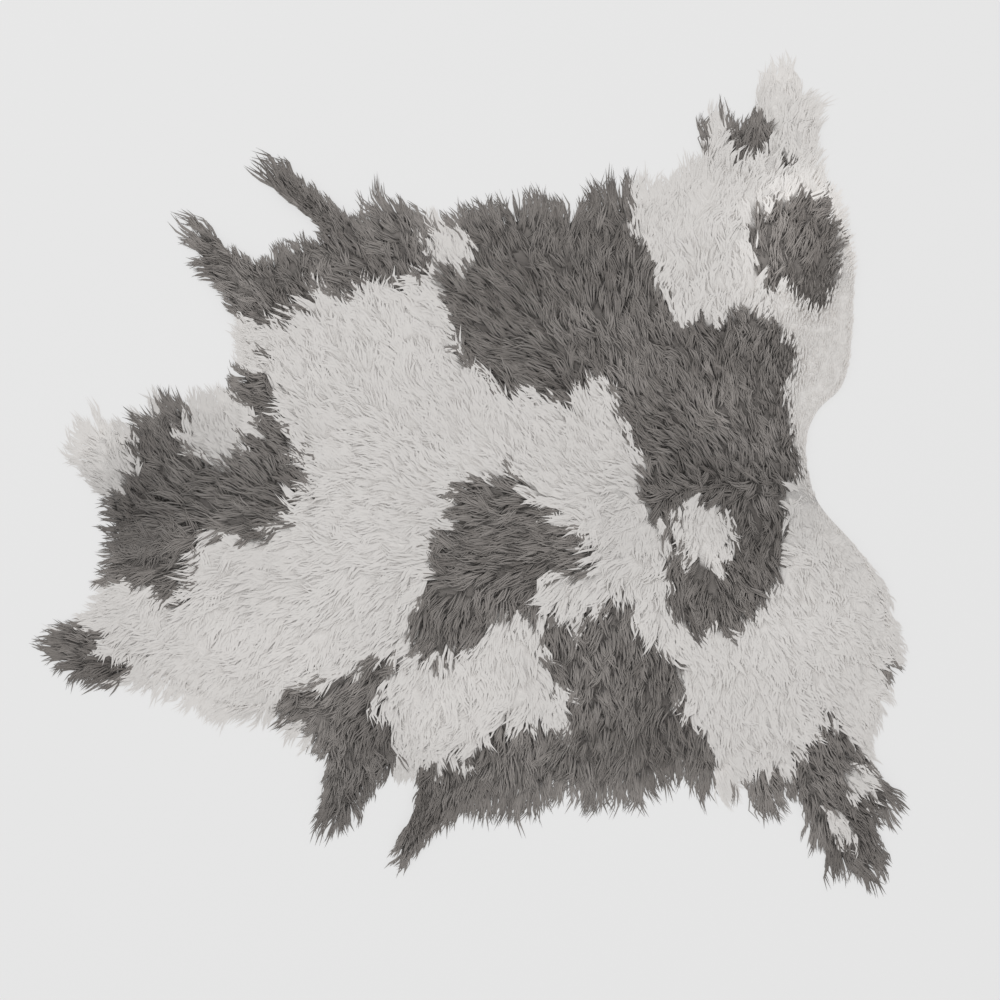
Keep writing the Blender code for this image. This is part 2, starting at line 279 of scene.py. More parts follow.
# %% [markdown]
# ## The skin
#
# Tanned skin is a sheet, 2 to 3 mm thick, with a napped flesh side like suede. It is made by Geometry
# Nodes, because its shape follows a rule: fill the outline, raise it by the thickness, and close it below.
# The outline goes in as a ring of edges, and the thickness is an input of the tree.
#
# `grown` runs such a tree. It sets the inputs by their sockets' identifiers, takes the result as a plain
# mesh and removes the modifier, so that the piece needs no tree any more.

# %% Trees that make a mesh


def new_tree(name, sockets):
    """A geometry node tree with these named inputs, as (name, socket type, value)."""
    tree = bpy.data.node_groups.new(name, "GeometryNodeTree")
    tree.interface.new_socket("Geometry", in_out="INPUT", socket_type="NodeSocketGeometry")
    for label, kind, value in sockets:
        socket = tree.interface.new_socket(label, in_out="INPUT", socket_type=kind)
        if value is not None:
            socket.default_value = value
    tree.interface.new_socket("Geometry", in_out="OUTPUT", socket_type="NodeSocketGeometry")
    entry = tree.nodes.new("NodeGroupInput").outputs
    return tree, entry


def grown(name, data, tree, values):
    """Runs a tree on a mesh, and gives the result as an object with a plain mesh."""
    source = bpy.data.objects.new(name, data)
    scene.collection.objects.link(source)
    modifier = source.modifiers.new("grow", "NODES")
    modifier.node_group = tree
    for item in tree.interface.items_tree:
        if item.in_out == "INPUT" and item.name in values:
            modifier[item.identifier] = values[item.name]
    graph = bpy.context.evaluated_depsgraph_get()
    result = bpy.data.meshes.new_from_object(
        source.evaluated_get(graph), preserve_all_data_layers=True, depsgraph=graph)
    source.modifiers.clear()
    source.data = result
    result.name = name
    bpy.data.meshes.remove(data)
    return source


# %% Node tree of the skin
skin_tree, entry = new_tree("skin from outline", [
    ("Thickness", "NodeSocketFloat", 0.0025),
    ("Weld Distance", "NodeSocketFloat", 0.00001),
    ("Material", "NodeSocketMaterial", None),
])
ring = add(skin_tree, "GeometryNodeMeshToCurve", {"Mesh": entry["Geometry"]})
filled = add(skin_tree, "GeometryNodeFillCurve", {"Curve": ring.outputs["Curve"]}, mode="TRIANGLES")
up = add(skin_tree, "ShaderNodeCombineXYZ", {"Z": 1.0})
raised = add(skin_tree, "GeometryNodeExtrudeMesh", {
    "Mesh": filled.outputs["Mesh"], "Offset": up.outputs[0],
    "Offset Scale": entry["Thickness"], "Individual": False})
below = add(skin_tree, "GeometryNodeFlipFaces", {"Mesh": filled.outputs["Mesh"]})
both = add(skin_tree, "GeometryNodeJoinGeometry")
skin_tree.links.new(raised.outputs["Mesh"], both.inputs[0])
skin_tree.links.new(below.outputs["Mesh"], both.inputs[0])
closed = add(skin_tree, "GeometryNodeMergeByDistance", {
    "Geometry": both.outputs[0], "Distance": entry["Weld Distance"]})
real = add(skin_tree, "GeometryNodeRealizeInstances", {"Geometry": closed.outputs["Geometry"]})
dressed = add(skin_tree, "GeometryNodeSetMaterial", {
    "Geometry": real.outputs["Geometry"], "Material": entry["Material"]})
add(skin_tree, "NodeGroupOutput", {"Geometry": dressed.outputs["Geometry"]})
print("skin tree,", len(skin_tree.nodes), "nodes")

# %% [markdown]
# Suede has no gloss. Its nap shows as soft cloudy marks, and up close as a fine felt. Both come from
# noise on Object coordinates: a wide one shifts the colour and the roughness, and a fine one drives the
# relief.

# %% Suede
SUEDE_LIGHT = (0.62, 0.585, 0.54, 1.0)
SUEDE_DARK = (0.50, 0.465, 0.42, 1.0)
SUEDE_ROUGHNESS = (0.82, 0.95)
NAP_STRENGTH = 0.35
NAP_DEPTH = 0.0006

suede, nodes, shader = new_material("napped skin", Sheen_Weight=0.25, Sheen_Roughness=0.5,
                                    Specular_IOR_Level=0.25)
place = add(nodes, "ShaderNodeTexCoord").outputs["Object"]
clouds = add(nodes, "ShaderNodeTexNoise", {"Vector": place, "Scale": 9.0, "Detail": 5.0}).outputs["Fac"]
nodes.links.new(mixed_colour(nodes, clouds, SUEDE_DARK, SUEDE_LIGHT), shader.inputs["Base Color"])
felt = add(nodes, "ShaderNodeTexNoise", {"Vector": place, "Scale": 420.0, "Detail": 3.0}).outputs["Fac"]
add_relief(nodes, shader, felt, NAP_STRENGTH, NAP_DEPTH)
nodes.links.new(carried_over(nodes, clouds, *SUEDE_ROUGHNESS), shader.inputs["Roughness"])
print("made", suede.name)

# %% Make the skin


def ring_of(count):
    """The edges that join so many points to a closed ring."""
    return [(i, (i + 1) % count) for i in range(count)]


ring_data = bpy.data.meshes.new("skin ring")
ring_data.from_pydata([(x * MM, y * MM, 0.0) for x, y in outline], ring_of(len(outline)), [])
hide_skin = grown("hide_skin", ring_data, skin_tree, {"Thickness": SKIN_THICKNESS * MM, "Material": suede})
print("skin:", len(hide_skin.data.polygons), "faces")

# %% [markdown]
# ## How the hair lies
#
# Hair lies as it grew: back along the spine, then away from it, towards the belly and down the legs. A
# table gives its heading for about a hundred places, with its length and its brightness there. Between
# them, each hair takes the average of the nearest places. At the rim, the imported locks say where the
# hair points and how far it reaches. The brightness is partly the hair's own tone and partly painted
# shade, which darkens the hair along the parting.
#
# All these rules are about places on the skin, so a few helpers measure them: whether a place lies in an
# outline, how far it is from a line, and how much a thing still counts at that distance. Each of them
# works on all places at once, because tens of thousands of hairs ask.

# %% Helpers for places and lines
TINY = 1e-9


def inside(points, polygon):
    """Which points lie inside a closed outline."""
    found = np.zeros(len(points), bool)
    x, y = points[:, 0], points[:, 1]
    for (ax, ay), (bx, by) in zip(polygon, np.roll(polygon, -1, axis=0)):
        rise = by - ay if by != ay else 1.0
        crossing = ax + (y - ay) / rise * (bx - ax)
        found ^= ((ay > y) != (by > y)) & (x < crossing)
    return found


def nearest_on(points, line, closed=True):
    """The place on the line that is nearest to each point."""
    best = np.full(len(points), np.inf)
    nearest = np.zeros_like(points)
    for a, b in zip(line, np.roll(line, -1, axis=0) if closed else line[1:]):
        t = np.clip((points - a) @ (b - a) / max((b - a) @ (b - a), TINY), 0.0, 1.0)
        place = a + t[:, None] * (b - a)
        gap = np.linalg.norm(points - place, axis=1)
        nearer = gap < best
        best[nearer] = gap[nearer]
        nearest[nearer] = place[nearer]
    return nearest


def distance_to(points, line, closed=True):
    """Each point's distance to the line."""
    return np.linalg.norm(points - nearest_on(points, line, closed), axis=1)


def depth_in(points, polygon):
    """Each point's distance from the outline's edge, which is negative outside it."""
    gap = distance_to(points, polygon)
    return np.where(inside(points, polygon), gap, -gap)


def gaps_between(points, others):
    """The distance from each point to each of the others, in one row for each point."""
    return np.linalg.norm(points[:, None] - others[None], axis=2)


def fading(distance, reach):
    """How much a thing counts at this distance: 1 on it, about a third at its reach, and soon nothing."""
    return np.exp(-(distance / reach) ** 2)


def unit(vectors):
    """The vectors, each made 1 long."""
    return vectors / np.linalg.norm(vectors, axis=1)[:, None]


# %% Headings and lengths
# The columns are x and y in mm, the heading in degrees from +X, the hair's length in mm, and its brightness,
# which is its own tone with painted shade along the parting
LIE = [
    (-436, 596, 140, 46, 1.00), (-556, 476, 130, 46, 1.00), (-356, 416, 120, 54, 1.00),
    (-176, 556, 125, 62, 1.00), (-196, 436, 115, 60, 1.00), (-36, 496, 115, 60, 1.00),
    (84, 556, 95, 62, 1.00), (244, 556, 88, 62, 1.00), (324, 556, 90, 60, 1.00),
    (484, 656, 80, 52, 1.00), (604, 796, 85, 44, 1.10), (704, 716, 50, 44, 1.08),
    (444, 456, 95, 54, 1.03), (644, 476, 85, 52, 1.46), (744, 476, 35, 20, 1.13),
    (724, 276, 78, 18, 1.06), (740, 340, 80, 14, 1.07), (700, 190, 78, 16, 1.06),
    (662, 90, 85, 18, 1.05), (320, 140, 112, 62, 1.05), (480, 100, 110, 60, 1.12),
    (600, 40, 105, 52, 1.08), (40, 270, 152, 68, 1.00), (-60, 340, 150, 66, 1.00),
    (140, 190, 145, 66, 1.00), (224, 176, 102, 56, 1.00), (240, 60, 118, 58, 1.00),
    (470, 700, 84, 44, 1.00), (540, 690, 92, 44, 1.00), (-450, 190, 165, 46, 1.00),
    (-496, 280, 165, 44, 1.00), (-484, 336, 150, 46, 1.00), (-764, -170, 196, 56, 1.00),
    (-770, -230, 204, 56, 1.00), (-700, -40, 125, 56, 0.78), (-620, -50, 130, 58, 0.74),
    (-540, -50, 135, 58, 0.75), (-460, -50, 132, 58, 0.85), (-280, 300, 115, 66, 1.00),
    (-160, 220, 120, 68, 1.00), (-300, 180, 116, 68, 1.00), (-220, 40, 155, 74, 1.01),
    (-440, 0, 125, 60, 0.88), (-640, 60, 124, 56, 0.84), (-520, 20, 122, 56, 0.82),
    (-380, 40, 122, 56, 1.00), (-60, 40, 130, 62, 1.00), (80, 40, 122, 60, 1.00),
    (-740, -128, 183, 66, 0.74), (-640, -128, 188, 78, 0.74), (-540, -130, 192, 80, 1.00),
    (-440, -122, 190, 78, 1.00), (-330, -116, 184, 76, 1.01), (-200, -116, 182, 72, 1.01),
    (-56, -112, 180, 66, 0.96), (60, -110, 178, 64, 1.00), (170, -100, 176, 62, 1.00),
    (330, -90, 240, 54, 0.94), (390, -62, 258, 52, 1.00), (450, -60, 266, 52, 0.98),
    (520, -56, 272, 52, 0.88), (590, -50, 278, 48, 0.88), (440, -120, 268, 54, 1.06),
    (350, 0, 122, 54, 0.95), (430, 14, 116, 54, 0.87), (520, 24, 112, 52, 0.89),
    (600, 4, 108, 46, 0.87), (-720, -190, 208, 70, 1.00), (-620, -210, 215, 80, 1.00),
    (-480, -180, 210, 84, 1.00), (-840, -320, 200, 50, 1.00), (-770, -380, 222, 50, 1.00),
    (-480, -260, 222, 76, 1.04), (-360, -320, 226, 74, 1.05), (-220, -240, 230, 74, 1.02),
    (-520, -400, 224, 60, 1.04), (-366, -474, 225, 56, 0.96), (-260, -620, 260, 50, 0.84),
    (-120, -700, 246, 44, 1.00), (-130, -284, 245, 66, 1.00), (24, -244, 255, 64, 1.04),
    (-16, -414, 262, 66, 1.06), (0, -560, 262, 60, 1.00), (140, -560, 266, 60, 0.97),
    (300, -560, 270, 60, 0.96), (440, -560, 275, 58, 1.00), (160, -340, 266, 64, 1.00),
    (364, -284, 284, 64, 1.03), (500, -200, 290, 60, 1.03), (640, -260, 296, 58, 1.04),
    (760, -360, 302, 48, 1.02), (560, -420, 290, 60, 1.02), (624, -164, 300, 44, 1.02),
    (814, -384, 300, 44, 1.02), (680, -600, 296, 56, 1.00), (760, -720, 300, 50, 1.00),
    (474, -644, 280, 54, 1.00), (574, -674, 275, 46, 1.00), (640, -650, 294, 50, 1.00),
    (672, -710, 298, 50, 1.00), (704, -766, 300, 50, 1.00), (740, -806, 300, 50, 1.00),
    (-740, 70, 135, 54, 1.00),
]
# The hair parts along this line
PARTING = np.array([
    (-680, -128), (-556, -126), (-56, -114), (164, -104), (344, -44), (420, -16), (600, -10)], float)
print(len(LIE), "places in the table")

# %% [markdown]
# A limb is so narrow that the places on both its sides would pull its hair apart. So each limb is a line
# from its root to its tip, and the hair near that line takes the limb's own direction.

# %% Limbs
LIMBS = np.array([
    ((-340, 510), (-442, 636)), ((-476, 400), (-596, 520)), ((-236, -500), (-306, -710)),
    ((-96, -600), (-150, -810)), ((670, -560), (780, -810)), ((580, 700), (612, 830)),
    ((-700, -350), (-870, -330))], float)
LIMB_HOLD = 0.85
LIMB_REACH = 36.0


def limb_hold(points, limb):
    """How much a limb decides the heading at each point."""
    return LIMB_HOLD * fading(distance_to(points, limb, closed=False), LIMB_REACH)


print(len(LIMBS), "limbs")

# %% [markdown]
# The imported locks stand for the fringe, and its longest hairs reach a little past them. In some places the
# real fringe is clearly shorter or longer than elsewhere. The next list names those places, and the share
# of the usual reach that the fringe has there.

# %% Fringe
RIM_STRETCH = 1.22
FRINGE_REACH = 32.0
# The columns are x and y in mm, and the share
FRINGE = [
    (-700, 140, 0.55), (-610, 160, 0.55), (-780, 120, 0.65), (454, 746, 0.55),
    (-212, 576, 0.55), (-546, -474, 0.70), (-620, -450, 0.70), (-880, -310, 0.75),
    (130, 584, 0.75), (664, 780, 0.60), (814, -484, 0.45), (854, -364, 0.50),
    (806, -540, 0.55), (594, -680, 0.60), (628, -656, 0.60), (484, -640, 0.75),
    (24, -690, 0.85), (-370, -540, 0.75), (-186, -770, 0.75), (-576, 440, 0.80),
    (84, 600, 1.45), (-140, 560, 1.40), (274, -684, 1.50), (144, -684, 1.40),
    (-506, 486, 1.30), (670, -680, 1.70), (704, -746, 1.85), (756, -812, 1.50),
    (856, -650, 1.50), (862, -700, 1.40), (-506, 290, 1.70), (-776, -194, 1.60),
    (-324, -600, 1.30), (-400, 560, 1.45),
]


def fringe_share(points):
    """How long and wide the fringe is at each point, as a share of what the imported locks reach."""
    share = np.ones(len(points))
    for x, y, here in FRINGE:
        share *= 1.0 + (here - 1.0) * fading(np.linalg.norm(points - (x, y), axis=1), FRINGE_REACH)
    return share


print(len(FRINGE), "places where the fringe is shorter or longer")

# %% The lie at any place
RIM_WEIGHT = 0.35
NEARNESS = 22.0
NEARNESS_AT_RIM = 12.0
NEARNESS_POWER = 4
RIM_REACH = 42.0
BARE_GAP = 40.0
BARE_LENGTH = 13.0
BARE_REACH = 30.0

lie_rows = np.array(LIE, float)
in_table = len(lie_rows)
compass = np.radians(lie_rows[:, 2])
rim_roots = rim_locks[:, :2]
rim_reach = np.linalg.norm(rim_locks[:, 2:], axis=1)
lie_places = np.vstack([lie_rows[:, :2], rim_roots])
lie_headings = np.vstack([np.stack([np.cos(compass), np.sin(compass)], axis=1), unit(rim_locks[:, 2:])])
lie_weights = np.concatenate([np.ones(in_table), np.full(len(rim_locks), RIM_WEIGHT)])
bare = corners[gaps_between(corners, rim_roots).min(axis=1) > BARE_GAP]


def lie_at(points):
    """The hair's direction, length and brightness at each point, the brightness with painted shade along the
    parting.
    """
    gaps = gaps_between(points, lie_places)
    weights = lie_weights / (gaps + NEARNESS) ** NEARNESS_POWER
    direction = unit(weights @ lie_headings)
    for limb in LIMBS:
        down_limb = unit(limb[1:] - limb[:1])
        direction += limb_hold(points, limb)[:, None] * (down_limb - direction)
    direction = unit(direction)
    inner = weights[:, :in_table]
    inner = inner / inner.sum(axis=1)[:, None]
    # The brightness is the hair's own tone, with painted shade along the parting
    length, tone_and_shade = inner @ lie_rows[:, 3], inner @ lie_rows[:, 4]
    # Near the rim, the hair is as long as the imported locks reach
    rim_gaps = gaps[:, in_table:]
    at_rim = 1.0 / (rim_gaps + NEARNESS_AT_RIM) ** NEARNESS_POWER
    reach = (at_rim @ rim_reach) / at_rim.sum(axis=1) * RIM_STRETCH * fringe_share(points)
    length = length + (reach - length) * fading(rim_gaps.min(axis=1), RIM_REACH)
    # Where the rim has no locks, as round the neck, the hair is short
    to_bare = gaps_between(points, bare).min(axis=1)
    length = length + (BARE_LENGTH - length) * fading(to_bare, BARE_REACH)
    return direction, length, tone_and_shade


print(len(rim_locks), "places at the rim,", len(bare), "bare")

# %% [markdown]
# ## Dark and pale patches
#
# The hide is pied: dark grey-brown patches on pale hair. Each patch is a short outline, in millimetres on
# the skin. A lock is dark if the part of its length that shows lies in a patch. Its tip then runs past the
# patch's edge, as it does on the real hide, and a few stray hairs of a lock have the other colour.

# %% Outlines of the patches
PATCH_GROWTH = 2.5
DARK = {
    "upper shanks": [
        (-636, 476), (-636, 576), (-476, 676), (-356, 656), (-276, 596), (-166, 626), (-76, 596),
        (-80, 530), (-92, 500), (-104, 456), (-108, 418), (-118, 384), (-146, 392), (-160, 368),
        (-186, 384), (-200, 398), (-232, 370), (-266, 352), (-312, 368), (-326, 338), (-356, 342),
        (-370, 298), (-386, 324), (-406, 304), (-440, 308), (-460, 334), (-480, 306), (-500, 300),
        (-546, 330)],
    "back": [
        (-76, 616), (308, 636), (308, 516), (324, 476), (340, 440), (354, 406), (368, 376), (380, 346),
        (396, 324), (408, 310), (428, 302), (448, 324), (468, 306), (488, 310), (508, 324), (534, 334),
        (548, 342), (564, 318), (592, 310), (600, 286), (618, 276), (632, 256), (636, 232), (630, 204),
        (608, 192), (604, 166), (616, 136), (626, 96), (634, 56), (642, 16), (642, 0), (618, 12),
        (610, -4), (608, -44), (604, -84), (606, -124), (612, -150), (608, -164), (598, -164),
        (592, -194), (578, -224), (570, -248), (556, -244), (542, -264), (522, -290), (492, -302),
        (464, -292), (444, -306), (420, -294), (404, -284), (382, -264), (370, -234), (366, -204),
        (384, -154), (380, -124), (368, -100), (344, -84), (334, -54), (326, -28), (334, 0), (330, 36),
        (314, 66), (296, 106), (282, 146), (282, 176), (268, 186), (246, 188), (226, 168), (208, 180),
        (200, 146), (168, 136), (134, 154), (94, 162), (54, 164), (28, 182), (14, 202), (-6, 222),
        (-32, 240), (-46, 256), (-26, 276), (-38, 306), (-54, 326), (-78, 344), (-70, 362), (-74, 420),
        (-60, 432), (-44, 420), (-26, 390), (-8, 430), (-4, 456), (-18, 484), (-34, 500), (-80, 516)],
    "middle": [
        (-44, -14), (4, 0), (28, -20), (48, 0), (60, 24), (66, 0), (96, -20), (112, -50), (138, -70),
        (148, -88), (164, -80), (178, -98), (194, -94), (212, -126), (226, -160), (210, -196),
        (194, -174), (174, -194), (160, -200), (140, -176), (130, -196), (122, -224), (122, -260),
        (94, -278), (64, -284), (40, -270), (20, -300), (4, -320), (-16, -332), (-34, -350),
        (-56, -358), (-76, -376), (-96, -374), (-112, -356), (-124, -336), (-132, -284),
        (-128, -244), (-118, -214), (-98, -184), (-86, -134), (-70, -114), (-52, -84), (-48, -54)],
    "lower flank": [
        (268, -228), (288, -240), (300, -264), (314, -304), (340, -308), (354, -344), (374, -338),
        (396, -350), (404, -444), (414, -474), (430, -500), (452, -496), (466, -534), (474, -574),
        (480, -624), (480, -650), (488, -744), (-60, -760), (-150, -860), (-200, -840), (-190, -744),
        (-160, -680), (-132, -640), (-124, -600), (-116, -580), (-106, -554), (-92, -574),
        (-80, -594), (-66, -574), (-46, -548), (-26, -574), (-6, -554), (8, -534), (34, -514),
        (50, -494), (74, -484), (104, -480), (134, -484), (154, -500), (170, -524), (186, -464),
        (178, -424), (164, -394), (148, -424), (136, -404), (124, -364), (120, -306), (140, -266),
        (170, -264), (174, -300), (188, -318), (204, -294), (214, -264), (228, -294), (244, -254)],
    "rump": [
        (-686, 96), (-664, 114), (-642, 124), (-628, 146), (-610, 176), (-590, 164), (-582, 138),
        (-580, 112), (-584, 80),
        (-566, 56), (-546, 26), (-526, 16), (-500, 16), (-476, 46), (-452, 76), (-432, 92),
        (-424, 108), (-438, 138), (-458, 152), (-482, 164), (-504, 178), (-510, 200), (-488, 218),
        (-446, 218), (-412, 202), (-398, 172), (-392, 136), (-382, 106), (-368, 86), (-352, 66),
        (-340, 40), (-346, 6), (-332, -24), (-356, -44), (-352, -74), (-386, -94), (-416, -104),
        (-432, -122), (-476, -114), (-516, -110), (-546, -118), (-552, -132), (-558, -152),
        (-566, -166), (-572, -194), (-580, -224), (-600, -250), (-618, -262), (-630, -240),
        (-652, -226), (-672, -204), (-706, -204), (-732, -224), (-740, -194), (-766, -164),
        (-776, -84), (-760, -32), (-716, -46), (-706, -8), (-682, -6), (-672, 24), (-684, 44),
        (-692, 62), (-682, 82)],
    "rump tip": [
        (-872, -320), (-836, -300), (-800, -280), (-786, -314), (-740, -308), (-750, -344),
        (-736, -364), (-696, -360), (-676, -354), (-692, -380), (-706, -400), (-740, -404),
        (-758, -428), (-766, -464), (-916, -444), (-916, -284)],
    "lower hind leg": [
        (-402, -444), (-376, -418), (-356, -408), (-332, -398), (-306, -416), (-280, -404),
        (-266, -378), (-236, -380), (-212, -372), (-190, -354), (-166, -346), (-164, -384),
        (-180, -404), (-184, -434), (-196, -474), (-172, -484), (-166, -524), (-162, -564),
        (-176, -594), (-186, -644), (-236, -744), (-336, -764), (-366, -684), (-330, -624),
        (-314, -554), (-346, -494), (-396, -476)],
    "foreleg tuft": [
        (500, 690), (506, 714), (540, 726), (568, 718), (586, 698), (580, 672), (568, 646),
        (550, 634), (534, 622), (516, 630), (502, 656)],
    "curl beside it": [
        (432, 650), (434, 700), (456, 748), (496, 768), (490, 742), (476, 706), (464, 656)],
    "tuft above the shoulder": [(606, 646), (614, 652), (624, 640), (622, 616), (608, 616)],
    "shoulder": [
        (530, 492), (554, 514), (560, 530), (578, 524), (590, 540), (606, 534), (626, 560),
        (644, 548), (652, 572), (664, 576), (680, 558), (690, 580), (696, 550), (704, 520),
        (714, 504), (722, 484), (738, 468), (718, 458), (716, 424), (708, 378), (698, 344), (674, 336),
        (648, 346), (644, 366), (626, 384), (604, 390), (582, 376), (560, 416), (554, 456),
        (534, 476)],
    "neck tuft": [(806, -362), (830, -362), (866, -392), (868, -444), (834, -430), (816, -400)],
    "lower shank": [
        (514, -614), (534, -594), (560, -574), (584, -584), (608, -600), (614, -624), (606, -650),
        (594, -710), (554, -730), (540, -676), (524, -644)],
    "lower foreleg": [
        (620, -584), (634, -564), (644, -530), (664, -536), (678, -518), (684, -484), (700, -472),
        (720, -504), (740, -524), (760, -544), (774, -568), (794, -574), (808, -580), (844, -564),
        (904, -644), (874, -744), (854, -844), (744, -864), (684, -814), (634, -744), (604, -668),
        (610, -640)],
    "spot on the haunch": [(-434, 246), (-424, 250), (-418, 242), (-430, 238)],
}
PALE_IN_DARK = {
    "spot in the back": [
        (404, -40), (388, -74), (380, -104), (396, -134), (414, -164), (444, -184), (468, -188),
        (488, -168), (498, -144), (510, -114), (508, -84), (488, -60), (468, -54), (444, -48),
        (424, -34)],
    "upper fleck": [
        (730, -568), (768, -570), (796, -592), (796, -634), (776, -650), (744, -632), (730, -604)],
    "lower fleck": [(696, -656), (722, -664), (748, -690), (752, -728), (726, -734), (700, -706)],
}


def dark_depth(points):
    """How deep in a dark patch each point lies, in mm, which is negative among pale hair."""
    depth = np.full(len(points), -np.inf)
    for polygon in DARK.values():
        depth = np.maximum(depth, depth_in(points, np.array(polygon, float)))
    for polygon in PALE_IN_DARK.values():
        depth = np.minimum(depth, -depth_in(points, np.array(polygon, float)))
    return depth + PATCH_GROWTH


print(len(DARK), "dark patches and", len(PALE_IN_DARK), "pale ones inside them")

# %% [markdown]
# ## The height of the coat
#
# The coat is deepest in the middle of the hide and thins out towards the edge. Past the edge, the hair
# comes down to the floor. Along the spine it parts, which leaves a shallow groove. Soft noise, a smooth
# field of random values, makes some tufts stand higher than others. Each soft noise below has a seed of
# its own, so that no two fields have their hills in the same places.

# %% Fields over the hide
COAT_HEIGHT = 31.0
EDGE_HEIGHT = 13.0
FLOOR_HEIGHT = 1.6
EDGE_SLOPE = 85.0
FRINGE_SLOPE = 34.0
GROOVE_DEPTH = 6.0
GROOVE_WIDTH = 30.0
GROOVE_END = 20.0
NOISE_CELLS = 256


def smoothstep(value):
    """A soft step from 0 to 1."""
    value = np.clip(value, 0.0, 1.0)
    return value * value * (3.0 - 2.0 * value)


def depth_inside(points):
    """Each point's distance from the skin's edge, which is negative outside the skin."""
    return depth_in(points, corners)


class SoftNoise:
    """A smooth random field with a mean of 0, whose hills are about one pitch apart."""

    def __init__(self, pitch, seed):
        self.pitch = pitch
        self.values = np.random.default_rng(seed).uniform(-1.0, 1.0, (NOISE_CELLS, NOISE_CELLS))

    def __call__(self, points):
        cells = points / self.pitch + NOISE_CELLS / 2
        low = np.floor(cells).astype(int)
        part = smoothstep(cells - low)
        x, y = low[:, 0] % NOISE_CELLS, low[:, 1] % NOISE_CELLS
        right, up = (x + 1) % NOISE_CELLS, (y + 1) % NOISE_CELLS
        near = self.values[x, y] * (1 - part[:, 0]) + self.values[right, y] * part[:, 0]
        far = self.values[x, up] * (1 - part[:, 0]) + self.values[right, up] * part[:, 0]
        return near * (1 - part[:, 1]) + far * part[:, 1]


def coat_height(points):
    """How high over the floor the coat's top is, in mm."""
    depth = depth_inside(points)
    height = FLOOR_HEIGHT + (EDGE_HEIGHT - FLOOR_HEIGHT) * smoothstep((depth + FRINGE_SLOPE) / FRINGE_SLOPE)
    height += (COAT_HEIGHT - EDGE_HEIGHT) * smoothstep(depth / EDGE_SLOPE)
    groove = fading(distance_to(points, PARTING, closed=False), GROOVE_WIDTH)
    return height - GROOVE_DEPTH * groove * smoothstep(depth / GROOVE_END)


print("coat", EDGE_HEIGHT, "to", COAT_HEIGHT, "mm high")

# %% [markdown]
# ## Locks and strands
#
# Long hair doesn't stand singly. A few strands that grow side by side cling together to a lock, which is
# about 12 mm wide and comes to a point, and several locks lean together to a tuft. So the hair is placed
# in three steps: tufts, locks and strands. A strand follows its lock, and a lock leans to its tuft.
#
# The places are scattered: a grid of triangles whose points are moved a little at random, so that they
# cover the skin evenly without showing rows. One random generator with a fixed seed serves them all.

# %% Helpers for scattering and turning
SEED = 5

rng = np.random.default_rng(SEED)


def scatter(pitch, jitter):
    """Jittered points of a triangular grid that lie on the skin."""
    low, high = outline.min(axis=0), outline.max(axis=0)
    rows = np.arange(low[1], high[1], pitch * math.sin(math.radians(60)))
    columns = np.arange(low[0], high[0], pitch)
    x, y = np.meshgrid(columns, rows)
    x = x + 0.5 * pitch * (np.arange(len(rows)) % 2)[:, None]
    points = np.stack([x.ravel(), y.ravel()], axis=1)
    points += rng.uniform(-jitter, jitter, points.shape) * pitch
    return points[inside(points, outline)]


def turned_by(direction, degrees):
    """The directions turned to the left by these angles."""
    c, s = np.cos(np.radians(degrees)), np.sin(np.radians(degrees))
    return np.stack([direction[:, 0] * c - direction[:, 1] * s,
                     direction[:, 0] * s + direction[:, 1] * c], axis=1)


def leftwards(direction):
    """The direction to the left of each."""
    return np.stack([-direction[:, 1], direction[:, 0]], axis=1)


# %% Tufts
TUFT_PITCH = 46.0
TUFT_JITTER = 0.35
TUFT_TURN = 11.0

tufts = scatter(TUFT_PITCH, TUFT_JITTER)
tuft_rise = rng.uniform(-1.0, 1.0, len(tufts))
tuft_turn = rng.normal(0.0, TUFT_TURN, len(tufts))
tuft_tree = KDTree(len(tufts))
for i, (x, y) in enumerate(tufts):
    tuft_tree.insert((x, y, 0.0), i)
tuft_tree.balance()
print(len(tufts), "tufts")

# %% [markdown]
# Scattered locks alone would leave the rim ragged and the parting bald. So one more row of locks stands
# just inside the skin's edge, and others stand on the parting itself. These point any way but forwards,
# as hair does where the two flanks part.

# %% Locks
LOCK_PITCH = 17.0
LOCK_JITTER = 0.40
RIM_LOCK_STEP = 8.0
RIM_LOCK_INSET = 3.0
SEAM_STEP = 4.0
SEAM_JITTER = 5.0
SEAM_PARTS = (0, 3, 4, 5)

rim_line = rounded(corners, RIM_LOCK_STEP)
inward = unit(leftwards(np.roll(rim_line, -1, axis=0) - np.roll(rim_line, 1, axis=0)))
inward[~inside(rim_line + inward, outline)] *= -1.0
rim_line = rim_line + inward * RIM_LOCK_INSET
seam_line = np.vstack([
    np.linspace(a, b, int(np.linalg.norm(b - a) / SEAM_STEP), endpoint=False)
    for a, b in ((PARTING[k], PARTING[k + 1]) for k in SEAM_PARTS)])
seam_line += rng.normal(0.0, SEAM_JITTER, seam_line.shape)
locks = np.vstack([scatter(LOCK_PITCH, LOCK_JITTER), seam_line, rim_line])
rim_start = len(locks) - len(rim_line)
at_rim = np.arange(len(locks)) >= rim_start
on_seam = slice(rim_start - len(seam_line), rim_start)
tuft_of = np.array([tuft_tree.find((x, y, 0.0))[1] for x, y in locks])
print(len(locks), "locks,", len(seam_line), "of them on the parting and", len(rim_line), "at the rim")

# %% [markdown]
# No two locks point quite the same way. A wide field turns whole regions a little, a close one turns
# neighbours against each other, and each tuft and each lock has a turn of its own. Short hair lies calm:
# it hardly turns, bows or gathers. At the rim the turns are smaller, so that the outline stays true.

